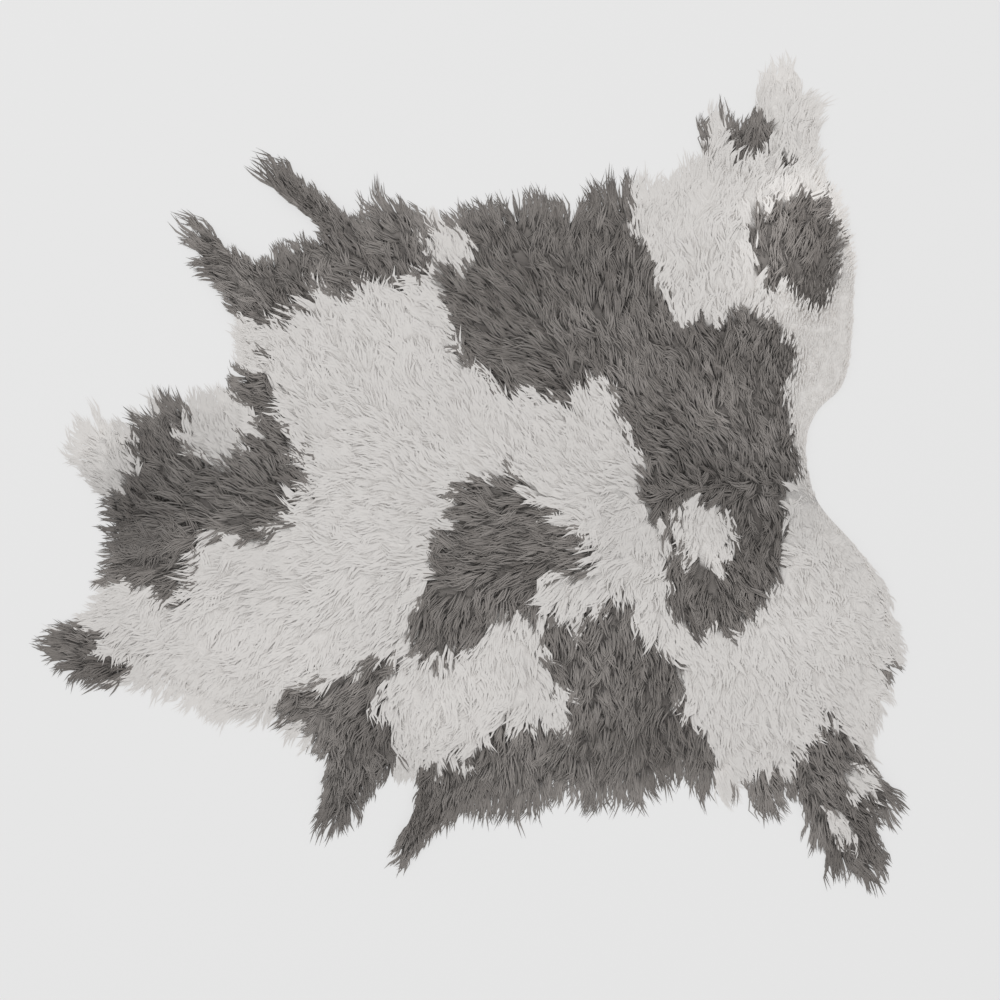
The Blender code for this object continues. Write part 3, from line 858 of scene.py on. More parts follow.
# %% How the locks lie
WIDE_PITCH, WIDE_TURN = 170.0, 12.0
CLOSE_PITCH, CLOSE_TURN = 48.0, 24.0
LOCK_TURN = 11.0
CALM_LENGTH = 14.0
LIVELY_LENGTH = 44.0
INLAND_DEPTH = 45.0
TURN_AT_RIM = 0.45
SEAM_TURN = 24.0
SEAM_WIDTH = 18.0
SEAM_FAN = 115.0
SEAM_LENGTH = 0.72
BACKWARDS = (-1.0, 0.0)
LOCK_LENGTHS = (0.78, 1.25)
BOW = 0.32
BOW_PITCH = 60.0
OWN_BOW = 0.7
HOOK = 0.20

# The locks' brightness carries painted shade along the parting
lock_lie, lock_length, lock_tone_and_shade = lie_at(locks)
calm = smoothstep((lock_length - CALM_LENGTH) / (LIVELY_LENGTH - CALM_LENGTH))
turn = WIDE_TURN * SoftNoise(WIDE_PITCH, 1)(locks)
turn += CLOSE_TURN * SoftNoise(CLOSE_PITCH, 2)(locks)
turn += tuft_turn[tuft_of] + rng.normal(0.0, LOCK_TURN, len(locks))
inland = smoothstep(depth_inside(locks) / INLAND_DEPTH)
seam = fading(distance_to(locks, PARTING, closed=False), SEAM_WIDTH)
turn *= TURN_AT_RIM + (1.0 - TURN_AT_RIM) * inland
turn += SEAM_TURN * seam * rng.normal(0.0, 1.0, len(locks))
lock_lie[on_seam] = BACKWARDS
turn[on_seam] = rng.uniform(-SEAM_FAN, SEAM_FAN, len(seam_line))
lock_length[on_seam] *= SEAM_LENGTH
lock_lie = turned_by(lock_lie, turn * calm)
lock_length = lock_length * rng.uniform(*LOCK_LENGTHS, len(locks))
lock_bow = BOW * (SoftNoise(BOW_PITCH, 3)(locks) + rng.uniform(-OWN_BOW, OWN_BOW, len(locks))) * calm
lock_hook = HOOK * rng.uniform(-1.0, 1.0, len(locks)) * calm
lock_rise = rng.uniform(-1.0, 1.0, len(locks))
lock_tone = rng.normal(0.0, 1.0, len(locks))
print("hair", lock_length.min().round(), "to", lock_length.max().round(), "mm")

# %% Roots of the strands
STRANDS_PER_LOCK = (7, 10)
STRANDS_AT_RIM = (5, 7)
SPREAD_IN_LOCK = 0.60
SPREAD_WHERE_SHORT = 0.95
SPREAD_AT_RIM = 0.5

counts = rng.integers(*STRANDS_PER_LOCK, len(locks), endpoint=True)
counts[at_rim] = rng.integers(*STRANDS_AT_RIM, at_rim.sum(), endpoint=True)
lock_of = np.repeat(np.arange(len(locks)), counts)
angle = rng.uniform(0.0, 2 * math.pi, len(lock_of))
radius = np.sqrt(rng.uniform(0.0, 1.0, len(lock_of))) * LOCK_PITCH
radius *= SPREAD_WHERE_SHORT + (SPREAD_IN_LOCK - SPREAD_WHERE_SHORT) * calm[lock_of]
radius[at_rim[lock_of]] *= SPREAD_AT_RIM
offset = np.stack([np.cos(angle), np.sin(angle)], axis=1) * radius[:, None]
roots = locks[lock_of] + offset
kept = inside(roots, outline)
lock_of, offset, roots, radius = lock_of[kept], offset[kept], roots[kept], radius[kept]
n = len(roots)
print(n, "strands")

# %% [markdown]
# Each strand is a curve with four points: its root, two bends and its tip. It rises from the skin, lies
# over the hair in front of it and comes down on it with its tip, as tiles do on a roof. Seen from above,
# it bows to one side, gathers to its lock and its tuft, and at the skin's edge it splays outwards, since
# nothing holds the fringe together there.

# %% Bends of the strands
STRAND_TURN = 5.0
STRAND_LENGTHS = (0.80, 1.08)
STRAND_BOW = 0.25
GATHER_TO_LOCK = 0.68
GATHER_TO_TUFT = 0.34
SPLAY = 10.0
SPLAY_WIDTH = 20.0
LEAST_GAP = 0.1
# The share of the length, of the bow, of the gathering and of the splay
LOW_BEND = (0.30, 0.45, 0.15, 0.6)
HIGH_BEND = (0.68, 1.20, 0.65, 1.0)
TIP = (1.0, 0.30, 1.0, 0.9)

lie = turned_by(lock_lie[lock_of], rng.normal(0.0, STRAND_TURN, n))
length = lock_length[lock_of] * rng.uniform(*STRAND_LENGTHS, n)
side = leftwards(lie)
bow = lock_bow[lock_of] + BOW * rng.uniform(-STRAND_BOW, STRAND_BOW, n)
across = np.sum(offset * side, axis=1)
to_tuft = np.sum((tufts[tuft_of[lock_of]] - roots) * side, axis=1).clip(-TUFT_PITCH, TUFT_PITCH)
pull = (GATHER_TO_TUFT * to_tuft - GATHER_TO_LOCK * across) * calm[lock_of]
outward = nearest_on(roots, outline) - roots
from_edge = np.linalg.norm(outward, axis=1)
outward /= np.maximum(from_edge, LEAST_GAP)[:, None]
splay = SPLAY * np.clip(1.0 - from_edge / SPLAY_WIDTH, 0.0, 1.0)
splay *= calm[lock_of] * fringe_share(roots)


def along_strand(share, bowed, gathered, splayed, hook=0.0):
    """A place on each strand, at a share of its length, and moved sideways and outwards."""
    sideways = side * (length * (bow * bowed + hook) + pull * gathered)[:, None]
    return roots + lie * (length * share)[:, None] + sideways + outward * (splay * splayed)[:, None]


low_bend = along_strand(*LOW_BEND)
high_bend = along_strand(*HIGH_BEND)
tips = along_strand(*TIP, hook=lock_hook[lock_of])
layer = rng.uniform(0.0, 1.0, n)
print("strands, mean", length.mean().round(1), "mm long")

# %% [markdown]
# A lock takes the colour of the place where it shows, so the edge of a patch is as ragged as the locks
# are. A little chance is added to that place's depth in the patch, more of it where dark and pale hairs
# grow mingled, and a few stray strands look at a place of their own.

# %% Colours of the strands
SHOWN_SHARE = (0.18, 0.66)
STRAYS = 0.14
MIX_OF_LOCKS = 2.5
MIX_OF_STRANDS = 0.8
# The columns are x and y, how far the mingling reaches, and how deep, in mm
MINGLED = [
    (520, 640, 36, 6), (620, 640, 20, 4), (760, -640, 50, 4),
    (-340, -500, 40, 5), (-90, 540, 30, 6), (380, -200, 30, 6)]

lock_shown = rng.uniform(*SHOWN_SHARE, len(locks))
lock_spot = locks + lock_lie * (lock_length * lock_shown)[:, None]
stray_spot = roots + (tips - roots) * rng.uniform(*SHOWN_SHARE, n)[:, None]
stray = rng.uniform(0.0, 1.0, n) < STRAYS
mix = np.full(n, MIX_OF_STRANDS)
for x, y, reach, more in MINGLED:
    mix += more * fading(np.linalg.norm(roots - (x, y), axis=1), reach)
chance = rng.normal(0.0, MIX_OF_LOCKS, len(locks))[lock_of] + rng.normal(0.0, 1.0, n) * mix
lock_depth = dark_depth(lock_spot)[lock_of] + chance * calm[lock_of]
strand_dark = np.where(stray, dark_depth(stray_spot), lock_depth) > 0.0
print(int(strand_dark.sum()), "dark strands and", int((~strand_dark).sum()), "pale ones")

# %% Tones of the strands
TONE_OF_LOCK = 0.9
TONE_OF_STRAND = 0.25
BROAD_TONE = 1.9
CLOSE_TONE = 1.3
MIDDLE_TONE = 0.5
TONE_STEP = 0.17

broad_tones = SoftNoise(95.0, 6)
close_tones = SoftNoise(40.0, 7)
tone = TONE_OF_LOCK * lock_tone[lock_of] + TONE_OF_STRAND * rng.normal(0.0, 1.0, n)
tone += BROAD_TONE * broad_tones(roots) + CLOSE_TONE * close_tones(roots)
tone = np.clip(MIDDLE_TONE + TONE_STEP * tone, 0.0, 1.0)
print("tones", tone.min().round(2), "to", tone.max().round(2))

# %% [markdown]
# The points' heights make the coat's relief. A strand in the middle of its lock lies higher than those at
# its sides, a lock higher or lower than its neighbours, and so does a tuft. The pale hair lies smoother
# than the dark, which throws the deeper shadows.

# %% Heights of the strands
LAYER_RISE = 1.2
CROWN_RISE = 3.2
LOCK_RISE = 3.0
TUFT_RISE = 3.0
FIELD_RISE = 1.5
FIELD_PITCH = 58.0
PALE_RISE = 0.38
TIP_RISE = 0.7
TIP_SINK = 1.0
ROOT_SHARE = 0.35
LOW_BEND_SHARE, HIGH_BEND_SHARE = 1.02, 1.04
DARK_TIP_SHARE, PALE_TIP_SHARE = 0.82, 0.94
LOWEST, HIGHEST = 1.2, 41.0

crown = 1.0 - (radius / (LOCK_PITCH * SPREAD_IN_LOCK)) ** 2
rise = (LAYER_RISE * (layer - 0.5) + CROWN_RISE * (crown - 0.5) + LOCK_RISE * lock_rise[lock_of]
        + TUFT_RISE * tuft_rise[tuft_of[lock_of]] + FIELD_RISE * SoftNoise(FIELD_PITCH, 4)(roots))
rise *= np.where(strand_dark, 1.0, PALE_RISE) * calm[lock_of]
root_height, low_height, high_height, tip_height = (
    coat_height(points) for points in (roots, low_bend, high_bend, tips))
rise *= smoothstep(root_height / COAT_HEIGHT)
root_z = SKIN_THICKNESS + ROOT_SHARE * (root_height - SKIN_THICKNESS)
low_z = low_height * LOW_BEND_SHARE + rise
high_z = high_height * HIGH_BEND_SHARE + rise
tip_z = tip_height * np.where(strand_dark, DARK_TIP_SHARE, PALE_TIP_SHARE) + TIP_RISE * rise - TIP_SINK


def placed(points, heights):
    """Points in metres, kept between the floor and the top of the coat."""
    return np.column_stack([points, np.clip(heights, LOWEST, HIGHEST)]) * MM


strand_points = {"root": placed(roots, root_z), "low bend": placed(low_bend, low_z),
                 "high bend": placed(high_bend, high_z), "tip": placed(tips, tip_z)}
print("highest bend", (strand_points["high bend"][:, 2].max() / MM).round(1), "mm")

# %% Widths of the strands
STRAND_WIDTH = 4.0
STRAND_WIDTHS = (0.70, 1.25)
INNER_WIDTH = 1.12
OUTER_LOSS = 0.30
USUAL_LENGTH = 46.0
LENGTH_LIMITS = (0.25, 1.15)
PALE_WIDTH = 1.42

width = STRAND_WIDTH * rng.uniform(*STRAND_WIDTHS, n) * (INNER_WIDTH - OUTER_LOSS * layer)
width *= np.sqrt(np.clip(length / USUAL_LENGTH, *LENGTH_LIMITS))
width *= np.where(strand_dark, 1.0, 1.0 + (PALE_WIDTH - 1.0) * inland[lock_of])
print("strands", width.min().round(1), "to", width.max().round(1), "mm wide")

# %% [markdown]
# ## A strand, by Geometry Nodes
#
# One strand is a slim cone with three sides, which is bent along its curve. There are tens of thousands
# of them, so each has only 16 triangles. The tree puts a straight cone on each root, makes the copies
# real, and then moves every point to its place on the strand's own curve: `along` runs from root to tip,
# and the cone's own X and Y become the strand's crown and side. The four points and the width travel as
# attributes of the roots.

# %% Helpers for attributes


def attribute(tree, name, kind="FLOAT"):
    """A named attribute's value."""
    node = add(tree, "GeometryNodeInputNamedAttribute", {"Name": name}, data_type=kind)
    return node.outputs["Attribute"]


def store(tree, geometry, name, value, kind="FLOAT", domain="POINT"):
    """The geometry with the value stored on it under a name."""
    node = add(tree, "GeometryNodeStoreNamedAttribute",
               {"Geometry": geometry, "Name": name, "Value": value}, data_type=kind, domain=domain)
    return node.outputs["Geometry"]


def between(tree, a, b, share):
    """The point that lies at a share of the way from a to b."""
    return add(tree, "ShaderNodeMix", {0: share, 4: a, 5: b}, data_type="VECTOR").outputs[1]


# %% Node tree of the strands: a cone on each root
hair_tree, entry = new_tree("strands of hair", [
    ("Rings", "NodeSocketInt", 3),
    ("Flatness", "NodeSocketFloat", 0.55),
    ("Crease", "NodeSocketFloat", 3.2),
    ("Wave", "NodeSocketFloat", 0.0012),
    ("Waves", "NodeSocketFloat", 1.4),
    ("Map Columns", "NodeSocketInt", 200),
    ("Map Rows", "NodeSocketInt", 60),
    ("Seed", "NodeSocketInt", 3),
    ("Material", "NodeSocketMaterial", None),
])
cone = add(hair_tree, "GeometryNodeMeshCone", {
    "Vertices": 3, "Side Segments": entry["Rings"], "Radius Top": 0.0, "Radius Bottom": 1.0, "Depth": 1.0})
straight = add(hair_tree, "GeometryNodeInputPosition").outputs[0]
straight_parts = add(hair_tree, "ShaderNodeSeparateXYZ", {0: straight}).outputs
flat = add(hair_tree, "ShaderNodeCombineXYZ", {"X": straight_parts["X"], "Y": straight_parts["Y"]})
round_place = vector_node(hair_tree, "NORMALIZE", flat.outputs[0])
pattern = store(hair_tree, cone.outputs["Mesh"], "along", straight_parts["Z"])
pattern = store(hair_tree, pattern, "round", round_place, "FLOAT_VECTOR")

index = add(hair_tree, "GeometryNodeInputIndex").outputs[0]
seeded = store(hair_tree, entry["Geometry"], "cell", index, "INT")
phase = add(hair_tree, "FunctionNodeRandomValue", {
    2: 0.0, 3: 2 * math.pi, "ID": index, "Seed": entry["Seed"]})
seeded = store(hair_tree, seeded, "phase", phase.outputs[1])
copies = add(hair_tree, "GeometryNodeInstanceOnPoints", {"Points": seeded, "Instance": pattern})
real = add(hair_tree, "GeometryNodeRealizeInstances", {"Geometry": copies.outputs["Instances"]})
print("strand tree,", len(hair_tree.nodes), "nodes so far")

# %% [markdown]
# The four points make a Bezier curve. A place on it is found by mixing neighbours, at the place's share of
# the way, until one point is left: four points give three, three give two, and two give one. The last two
# also give the curve's heading there, and from that follow the strand's side and its crown.

# %% Node tree of the strands: the curve
along = attribute(hair_tree, "along")
curve_points = [attribute(hair_tree, name, "FLOAT_VECTOR") for name in strand_points]
while len(curve_points) > 2:
    curve_points = [between(hair_tree, a, b, along) for a, b in zip(curve_points, curve_points[1:])]
middle = between(hair_tree, *curve_points, along)
heading = vector_node(hair_tree, "SUBTRACT", curve_points[1], curve_points[0])
to_side = vector_node(hair_tree, "CROSS_PRODUCT", heading, (0.0, 0.0, 1.0))
to_side = vector_node(hair_tree, "NORMALIZE", to_side)
to_crown = vector_node(hair_tree, "CROSS_PRODUCT", to_side, heading)
to_crown = vector_node(hair_tree, "NORMALIZE", to_crown)
print("strand tree,", len(hair_tree.nodes), "nodes so far")

# %% [markdown]
# Each point of the cone then moves away from the middle of the strand, to its crown and to its side. A
# float curve gives the taper: slim at the root, full at a third of the length and nothing at the tip. A
# sine makes the strand wave a little, more towards its tip, and each strand starts at another phase.

# %% Node tree of the strands: taper and wave
TAPER = [(0.0, 0.62), (0.33, 1.0), (0.67, 0.78), (1.0, 0.0)]

taper = add(hair_tree, "ShaderNodeFloatCurve", {"Value": along})
curve = taper.mapping.curves[0]
curve.points[0].location, curve.points[1].location = TAPER[0], TAPER[-1]
for stop in TAPER[1:-1]:
    curve.points.new(*stop)
taper.mapping.update()
half_width = math_node(hair_tree, "MULTIPLY", attribute(hair_tree, "width"), 0.5)
half_width = math_node(hair_tree, "MULTIPLY", half_width, taper.outputs[0])
thickness = math_node(hair_tree, "MULTIPLY", half_width, entry["Flatness"])
round_here = attribute(hair_tree, "round", "FLOAT_VECTOR")
round_parts = add(hair_tree, "ShaderNodeSeparateXYZ", {0: round_here}).outputs
crown_move = scaled(hair_tree, to_crown, math_node(hair_tree, "MULTIPLY", round_parts["X"], thickness))
side_move = scaled(hair_tree, to_side, math_node(hair_tree, "MULTIPLY", round_parts["Y"], half_width))

swing = math_node(hair_tree, "MULTIPLY", along, entry["Waves"])
swing = math_node(hair_tree, "MULTIPLY_ADD", swing, 2 * math.pi, attribute(hair_tree, "phase"))
swing = math_node(hair_tree, "MULTIPLY", math_node(hair_tree, "SINE", swing), entry["Wave"])
wave_move = scaled(hair_tree, to_side, math_node(hair_tree, "MULTIPLY", swing, along))
moved = middle
for move in (crown_move, side_move, wave_move):
    moved = vector_node(hair_tree, "ADD", moved, move)
bent = add(hair_tree, "GeometryNodeSetPosition", {"Geometry": real.outputs["Geometry"], "Position": moved})
print("strand tree,", len(hair_tree.nodes), "nodes so far")

# %% [markdown]
# The tree lays out a map for baking the colours to an image. A map that Blender lays out by itself can't
# hold thousands of strands, so the tree lays out its own: each strand gets a cell of the image, with its
# root at the bottom of the cell and its tip at the top. The tree ends by smoothing the strand across its
# edges, apart from those that are sharper than `Crease`, and by giving it its material.

# %% Node tree of the strands: map and material
MAP_NAME = "OFBake"
CELL_MARGIN = 0.14
CROWN_ON_MAP = 0.03

cell = attribute(hair_tree, "cell", "INT")
column = math_node(hair_tree, "FLOORED_MODULO", cell, entry["Map Columns"])
row = math_node(hair_tree, "FLOOR", math_node(hair_tree, "DIVIDE", cell, entry["Map Columns"]))
u = math_node(hair_tree, "MULTIPLY_ADD", round_parts["Y"], 0.5 - CELL_MARGIN, 0.5)
u = math_node(hair_tree, "DIVIDE", math_node(hair_tree, "ADD", column, u), entry["Map Columns"])
v = math_node(hair_tree, "MULTIPLY_ADD", round_parts["X"], CROWN_ON_MAP, CELL_MARGIN)
v = math_node(hair_tree, "MULTIPLY_ADD", along, 1.0 - 2 * CELL_MARGIN, v)
v = math_node(hair_tree, "DIVIDE", math_node(hair_tree, "ADD", row, v), entry["Map Rows"])
uv = add(hair_tree, "ShaderNodeCombineXYZ", {"X": u, "Y": v}).outputs[0]
mapped = store(hair_tree, bent.outputs["Geometry"], MAP_NAME, uv, "FLOAT2", "CORNER")
smooth = add(hair_tree, "GeometryNodeSetShadeSmooth", {"Geometry": mapped})
edge_angle = add(hair_tree, "GeometryNodeInputMeshEdgeAngle").outputs["Unsigned Angle"]
is_crease = math_node(hair_tree, "GREATER_THAN", edge_angle, entry["Crease"])
creased = add(hair_tree, "GeometryNodeSetShadeSmooth", {
    "Geometry": smooth.outputs["Geometry"], "Selection": is_crease, "Shade Smooth": False}, domain="EDGE")
dressed = add(hair_tree, "GeometryNodeSetMaterial", {
    "Geometry": creased.outputs["Geometry"], "Material": entry["Material"]})
add(hair_tree, "NodeGroupOutput", {"Geometry": dressed.outputs["Geometry"]})
print("strand tree,", len(hair_tree.nodes), "nodes in all")

# %% [markdown]
# ## Colour of the hair
#
# Each hair has painted shading at its root: painted shade on dark hair, where little light comes in, and
# painted light on pale hair, against the shadow between its strands. It is a little lighter at its tip.
# Neighbouring locks differ slightly in tone. One shader group makes that colour for every hair material. It
# reads `tone`, which each strand has of its own, and `along`, which runs from root to tip.

# %% Shader group for the colour
SHADE_ENDS = 0.55
DULL, GLOSSY = 0.68, 0.56


def new_group(name, inputs, outputs):
    """A shader node group with these named sockets, as (name, socket type, value)."""
    group = bpy.data.node_groups.new(name, "ShaderNodeTree")
    for label, kind, value in inputs:
        socket = group.interface.new_socket(label, in_out="INPUT", socket_type=kind)
        socket.default_value = value
    for label, kind in outputs:
        group.interface.new_socket(label, in_out="OUTPUT", socket_type=kind)
    return group, group.nodes.new("NodeGroupInput").outputs


colour_group, entry = new_group("hair colour", [
    ("Deep", "NodeSocketColor", (0.1, 0.1, 0.1, 1.0)),
    ("Light", "NodeSocketColor", (0.2, 0.2, 0.2, 1.0)),
    ("Tone", "NodeSocketFloat", 0.5),
    ("Along", "NodeSocketFloat", 1.0),
    ("Painted Root Shading", "NodeSocketFloat", 0.6),
    ("Tip Lift", "NodeSocketFloat", 1.1),
], [("Colour", "NodeSocketColor"), ("Roughness", "NodeSocketFloat")])
base = mixed_colour(colour_group, entry["Tone"], entry["Deep"], entry["Light"])
# Painted shading at the root: below 1 it is painted shade, above 1 it is painted light
painted_root_shading = carried_over(colour_group, entry["Along"], entry["Painted Root Shading"], 1.0,
                    end=SHADE_ENDS, curve="SMOOTHSTEP")
lift = carried_over(colour_group, entry["Along"], 1.0, entry["Tip Lift"],
                    start=SHADE_ENDS, curve="SMOOTHSTEP")
tinted = scaled(colour_group, base, math_node(colour_group, "MULTIPLY", painted_root_shading, lift))
roughness = carried_over(colour_group, entry["Tone"], DULL, GLOSSY)
add(colour_group, "NodeGroupOutput", {"Colour": tinted, "Roughness": roughness})
print("group", colour_group.name)

# %% [markdown]
# Seen close, each strand is a bundle of fine hairs. A second group draws them as streaks: noise that is
# stretched along the hair, three times in the wool and far more on the long, slim strands. It feeds the
# relief and shades the colour a little.

# %% Shader group for the fine hairs
STRETCH = 3.0
APART_IN_NOISE = 3.71
FAINT, STRONG = 0.3, 0.7

streak_group, entry = new_group("fine hairs", [
    ("Across", "NodeSocketFloat", 0.0),
    ("Along", "NodeSocketFloat", 0.0),
    ("Which", "NodeSocketFloat", 0.0),
    ("Hairs", "NodeSocketFloat", 5.0),
    ("Contrast", "NodeSocketFloat", 0.2),
], [("Height", "NodeSocketFloat"), ("Shade", "NodeSocketFloat")])
x = math_node(streak_group, "MULTIPLY", entry["Across"], entry["Hairs"])
y = math_node(streak_group, "DIVIDE", entry["Hairs"], STRETCH)
y = math_node(streak_group, "MULTIPLY", entry["Along"], y)
z = math_node(streak_group, "MULTIPLY", entry["Which"], APART_IN_NOISE)
spot_in_noise = add(streak_group, "ShaderNodeCombineXYZ", {"X": x, "Y": y, "Z": z}).outputs[0]
streaks = add(streak_group, "ShaderNodeTexNoise", {"Vector": spot_in_noise, "Scale": 1.0, "Detail": 2.0})
low_shade = math_node(streak_group, "SUBTRACT", 1.0, entry["Contrast"])
high_shade = math_node(streak_group, "ADD", 1.0, entry["Contrast"])
shading = carried_over(streak_group, streaks.outputs["Fac"], low_shade, high_shade, FAINT, STRONG)
add(streak_group, "NodeGroupOutput", {"Height": streaks.outputs["Fac"], "Shade": shading})
print("group", streak_group.name)

# %% [markdown]
# The two kinds of hair share one recipe and differ in its values. Pale hair is flat and evenly light:
# real pale hair lets light through, and here its roots are painted lighter instead, as painted light. Dark
# hair is rounder, has painted shade at its root and shows its fine hairs more.

# %% Hair materials
# At the roots, pale hair gets painted light, against the shadow between its strands, and dark hair gets
# painted shade
HAIR = {
    "pale": {"Deep": (0.745, 0.721, 0.699, 1.0), "Light": (0.785, 0.761, 0.739, 1.0),
             "Painted Root Shading": 1.20, "Tip Lift": 1.0, "Flatness": 0.12, "Crease": 1.0,
             "Streaks": 0.02, "Relief": 0.2, "Sheen": 0.0},
    "dark": {"Deep": (0.195, 0.177, 0.164, 1.0), "Light": (0.370, 0.343, 0.323, 1.0),
             "Painted Root Shading": 0.50, "Tip Lift": 1.06, "Flatness": 0.36, "Crease": 3.2,
             "Streaks": 0.12, "Relief": 0.35, "Sheen": 0.1},
}
HAIRS_PER_STRAND = 4.0
STRAND_RELIEF_DEPTH = 0.0008


def shader_attribute(nodes, name, output="Fac"):
    """A mesh attribute's value in a material."""
    return add(nodes, "ShaderNodeAttribute", attribute_name=name).outputs[output]


def coat_colour(nodes, kind, tone, along):
    """The colour and the roughness that the hair colour group gives one kind of hair."""
    values = {key: HAIR[kind][key] for key in ("Deep", "Light", "Painted Root Shading", "Tip Lift")}
    values.update({"Tone": tone, "Along": along})
    return add(nodes, "ShaderNodeGroup", values, node_tree=colour_group).outputs


def strand_material(kind):
    """Hair whose colour follows each strand, with fine hairs along it."""
    values = HAIR[kind]
    material, nodes, shader = new_material(f"{kind} hair", Sheen_Weight=values["Sheen"],
                                           Sheen_Roughness=0.45, Specular_IOR_Level=0.3)
    along = shader_attribute(nodes, "along")
    coat = coat_colour(nodes, kind, shader_attribute(nodes, "tone"), along)
    place = add(nodes, "ShaderNodeSeparateXYZ", {0: shader_attribute(nodes, "round", "Vector")}).outputs
    fine = add(nodes, "ShaderNodeGroup", {
        "Across": place["Y"], "Along": along, "Which": shader_attribute(nodes, "phase"),
        "Hairs": HAIRS_PER_STRAND, "Contrast": values["Streaks"]}, node_tree=streak_group).outputs
    colour = scaled(nodes, coat["Colour"], fine["Shade"])
    # The brightness scales the colour: the hair's own tone, with painted shade along the parting
    colour = scaled(nodes, colour, shader_attribute(nodes, "tone_and_shade"))
    nodes.links.new(colour, shader.inputs["Base Color"])
    nodes.links.new(coat["Roughness"], shader.inputs["Roughness"])
    add_relief(nodes, shader, fine["Height"], values["Relief"], STRAND_RELIEF_DEPTH)
    return material


hair_materials = {kind: strand_material(kind) for kind in HAIR}
print("made", " and ".join(material.name for material in hair_materials.values()))

# %% [markdown]
# ## Growing the coat
#
# A piece of the export should stay under 200,000 triangles. So the strands are shared out: three pieces
# of pale hair and three of dark hair, from the hair close to the skin to the long hair on top.

# %% Grow the strands
LAYERS = ("inner", "middle", "outer")
MAP_COLUMNS = 204


def put_on_points(data, label, values):
    """Stores a number or a vector for each point of a mesh."""
    kind, key = ("FLOAT_VECTOR", "vector") if values.ndim == 2 else ("FLOAT", "value")
    stored = data.attributes.new(label, kind, "POINT")
    stored.data.foreach_set(key, values.astype(np.float32).ravel())


def strand_roots(name, chosen):
    """The roots of the chosen strands as a mesh of points, with what the tree needs to bend them."""
    data = bpy.data.meshes.new(name)
    data.from_pydata(strand_points["root"][chosen].tolist(), [], [])
    # The brightness carries painted shade along the parting
    carried = {**strand_points, "width": width * MM, "tone": tone, "tone_and_shade": lock_tone_and_shade[lock_of]}
    for label, values in carried.items():
        put_on_points(data, label, values[chosen])
    return data


coat_pieces = []
for kind, is_dark in (("pale", False), ("dark", True)):
    ours = np.flatnonzero(strand_dark == is_dark)
    ours = ours[np.argsort(layer[ours], kind="stable")]
    for label, chosen in zip(LAYERS, np.array_split(ours, len(LAYERS))):
        name = f"{kind}_{label}_hair"
        piece = grown(name, strand_roots(name + "_roots", chosen), hair_tree, {
            "Material": hair_materials[kind],
            "Flatness": HAIR[kind]["Flatness"], "Crease": HAIR[kind]["Crease"],
            "Map Columns": MAP_COLUMNS, "Map Rows": math.ceil(len(chosen) / MAP_COLUMNS)})
        for spare in (*strand_points, "width", "cell"):
            piece.data.attributes.remove(piece.data.attributes[spare])
        coat_pieces.append(piece)
        piece.data.calc_loop_triangles()
        print(name, len(chosen), "strands,", len(piece.data.loop_triangles), "triangles")

# %% [markdown]
# ## The wool under the hair
#
# Between the locks one looks down into short, dense wool. It is one soft surface, at about two thirds of
# the coat's height under the dark hair and closer to the top under the pale, so that the coat has a body
# when it is seen from the side. It is made in mesh code: a triangle mesh over the skin, raised by the
# coat's height and by small ridges that run with the hair.

# %% Shape of the wool
WOOL_PITCH = 12.0
WOOL_JITTER = 0.25
WOOL_INSET = 5.0
WOOL_BOTTOM = SKIN_THICKNESS + 0.1
WOOL_EDGE = WOOL_BOTTOM + 1.0
PALE_WOOL, DARK_WOOL = 0.87, 0.62
WOOL_STEP = 28.0
WOOL_LEAN = 8.0
RIDGE_HEIGHT = 2.0
RIDGE_PITCH = 13.0
RIDGE_STRETCH = 4.0
SNAP = 1e-5

wool_rim = rounded(corners, WOOL_PITCH)
field = scatter(WOOL_PITCH, WOOL_JITTER)
field = field[depth_inside(field) > WOOL_INSET]
wool_points = np.vstack([wool_rim, field])
rim_links = ring_of(len(wool_rim))


def covering(points, links, polygon):
    """Triangles over the polygon, counter-clockwise as seen from above."""
    _, _, faces, origins, _, _ = delaunay_2d_cdt([tuple(p) for p in points], links, [], 0, SNAP, True)
    triangles = np.array([[origins[i][0] for i in face] for face in faces])
    triangles = triangles[inside(points[triangles].mean(axis=1), polygon)]
    a, b, c = (points[triangles[:, k]] for k in range(3))
    turns = (b - a)[:, 0] * (c - a)[:, 1] - (b - a)[:, 1] * (c - a)[:, 0]
    triangles[turns < 0] = triangles[turns < 0][:, ::-1]
    return triangles


top = covering(wool_points, rim_links, wool_rim)
bottom = covering(wool_rim, rim_links, wool_rim)[:, ::-1]
wool_lie, _, wool_tone_and_shade = lie_at(wool_points)
wool_across = np.sum(wool_points * leftwards(wool_lie), axis=1)
wool_along = np.sum(wool_points * wool_lie, axis=1)
ridge = SoftNoise(RIDGE_PITCH, 8)(np.column_stack([wool_across, wool_along / RIDGE_STRETCH]))
wool_depth = dark_depth(wool_points + wool_lie * WOOL_LEAN)
wool_dark = (wool_depth > 0.0).astype(float)
wool_share = PALE_WOOL + (DARK_WOOL - PALE_WOOL) * smoothstep(1.0 + wool_depth / WOOL_STEP)
wool_height = wool_share * coat_height(wool_points) + RIDGE_HEIGHT * ridge * wool_dark
wool_height = np.maximum(wool_height, WOOL_EDGE)
wool_height[:len(wool_rim)] = WOOL_EDGE
print("wool", len(wool_points), "points,", len(top) + len(bottom), "triangles")

# %% [markdown]
# The wool's material is made of the same two groups as the hair's. It reads at each point how dark it is,
# its tone and its brightness, which carries painted shade along the parting, and a vector whose X runs
# across the hair and whose Y runs along it. Under dark hair the wool also gets the painted shade of the
# hair's roots.

# %% Colour of the wool
WOOL_TONE_STEP = 0.25
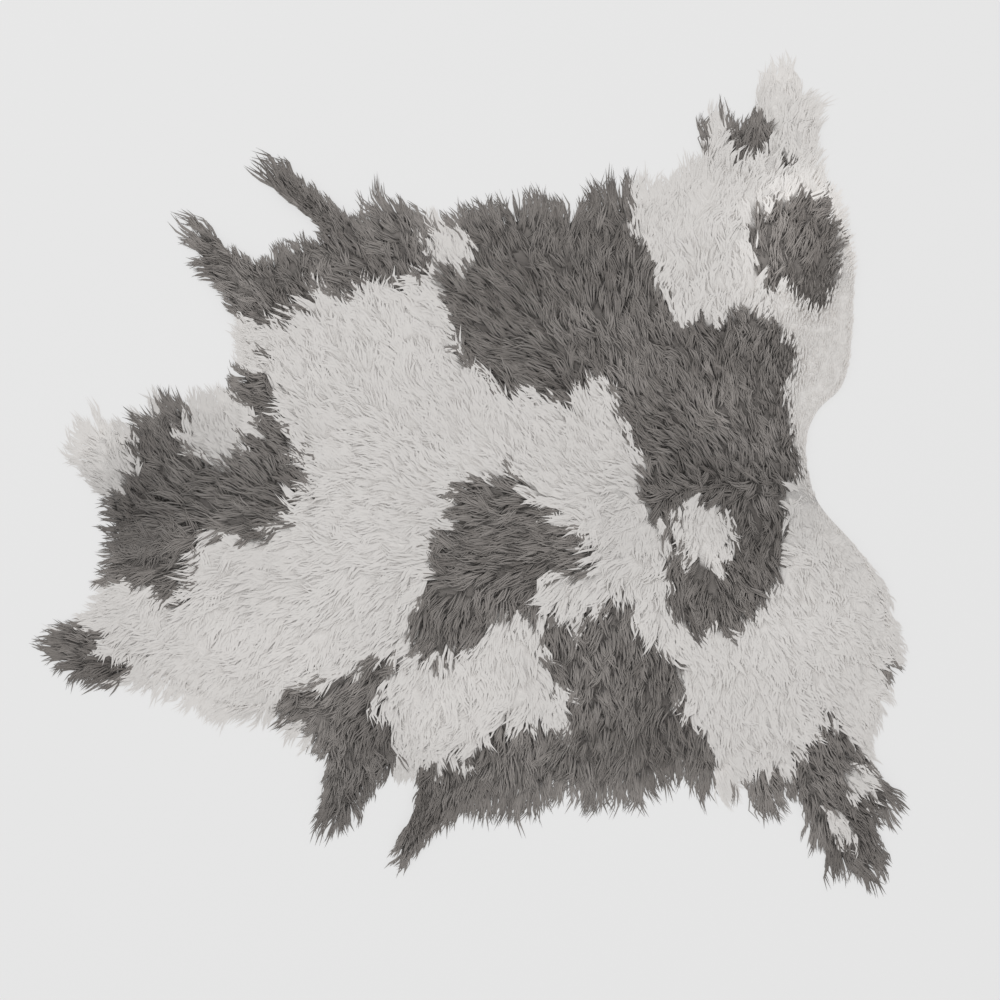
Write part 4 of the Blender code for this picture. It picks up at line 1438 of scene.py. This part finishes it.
# Shares of the hair's length whose colour the wool takes: under dark hair this lies in the painted root
# shade, under pale hair past the painted root light
PALE_ALONG, DARK_ALONG = 0.6, 0.3
HAIRS_PER_METRE = 260.0
WOOL_STREAKS = 0.08
WOOL_RELIEF = 0.7
WOOL_RELIEF_DEPTH = 0.003

wool_tone = np.clip(MIDDLE_TONE + WOOL_TONE_STEP * broad_tones(wool_points), 0.0, 1.0)

wool_material, nodes, shader = new_material("wool under the hair", Sheen_Weight=0.1, Specular_IOR_Level=0.2)
place = add(nodes, "ShaderNodeSeparateXYZ", {0: shader_attribute(nodes, "grain", "Vector")}).outputs
fine = add(nodes, "ShaderNodeGroup", {
    "Across": place["X"], "Along": place["Y"], "Which": 0.0, "Hairs": HAIRS_PER_METRE,
    "Contrast": WOOL_STREAKS}, node_tree=streak_group).outputs
tone_here = shader_attribute(nodes, "tone")
pale_wool = coat_colour(nodes, "pale", tone_here, PALE_ALONG)
dark_wool = coat_colour(nodes, "dark", tone_here, DARK_ALONG)
colour = mixed_colour(nodes, shader_attribute(nodes, "dark"), pale_wool["Colour"], dark_wool["Colour"])
# The brightness is the wool's own tone, with painted shade along the parting
colour = scaled(nodes, colour, shader_attribute(nodes, "tone_and_shade"))
nodes.links.new(scaled(nodes, colour, fine["Shade"]), shader.inputs["Base Color"])
nodes.links.new(pale_wool["Roughness"], shader.inputs["Roughness"])
add_relief(nodes, shader, fine["Height"], WOOL_RELIEF, WOOL_RELIEF_DEPTH)
print("made", wool_material.name)

# %% Make the wool
wool_mesh = bmesh.new()
upper = [wool_mesh.verts.new((x * MM, y * MM, z * MM)) for (x, y), z in zip(wool_points, wool_height)]
lower = [wool_mesh.verts.new((x * MM, y * MM, WOOL_BOTTOM * MM)) for x, y in wool_rim]
for triangle in top:
    wool_mesh.faces.new([upper[i] for i in triangle]).smooth = True
for triangle in bottom:
    wool_mesh.faces.new([lower[i] for i in triangle])
for i, j in rim_links:
    first, second = (j, i) if signed_area(wool_rim) < 0 else (i, j)
    wool_mesh.faces.new([lower[first], lower[second], upper[second], upper[first]])
wool_data = bpy.data.meshes.new("underwool")
wool_mesh.to_mesh(wool_data)
wool_mesh.free()

grain = np.column_stack([wool_across, wool_along, np.zeros(len(wool_points))]) * MM
# The brightness here carries painted shade along the parting
carried = {"grain": grain, "dark": wool_dark, "tone": wool_tone, "tone_and_shade": wool_tone_and_shade}
for label, values in carried.items():
    put_on_points(wool_data, label, np.concatenate([values, values[:len(wool_rim)]]))
wool_data.materials.append(wool_material)
underwool = bpy.data.objects.new("underwool", wool_data)
scene.collection.objects.link(underwool)
print("underwool", len(wool_data.polygons), "faces")

# %% [markdown]
# ## The pieces on one body
#
# The rug has no moving part, so all its pieces ride on the one body. The skin is a sheet that is laid
# flat, cut to its own outline, with the coat on it, and it stands for the imported solid, which is hidden.

# %% Ride, and the imported solid hidden
for piece in (hide_skin, underwool, *coat_pieces):
    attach(piece, "root")
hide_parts("cowhide")
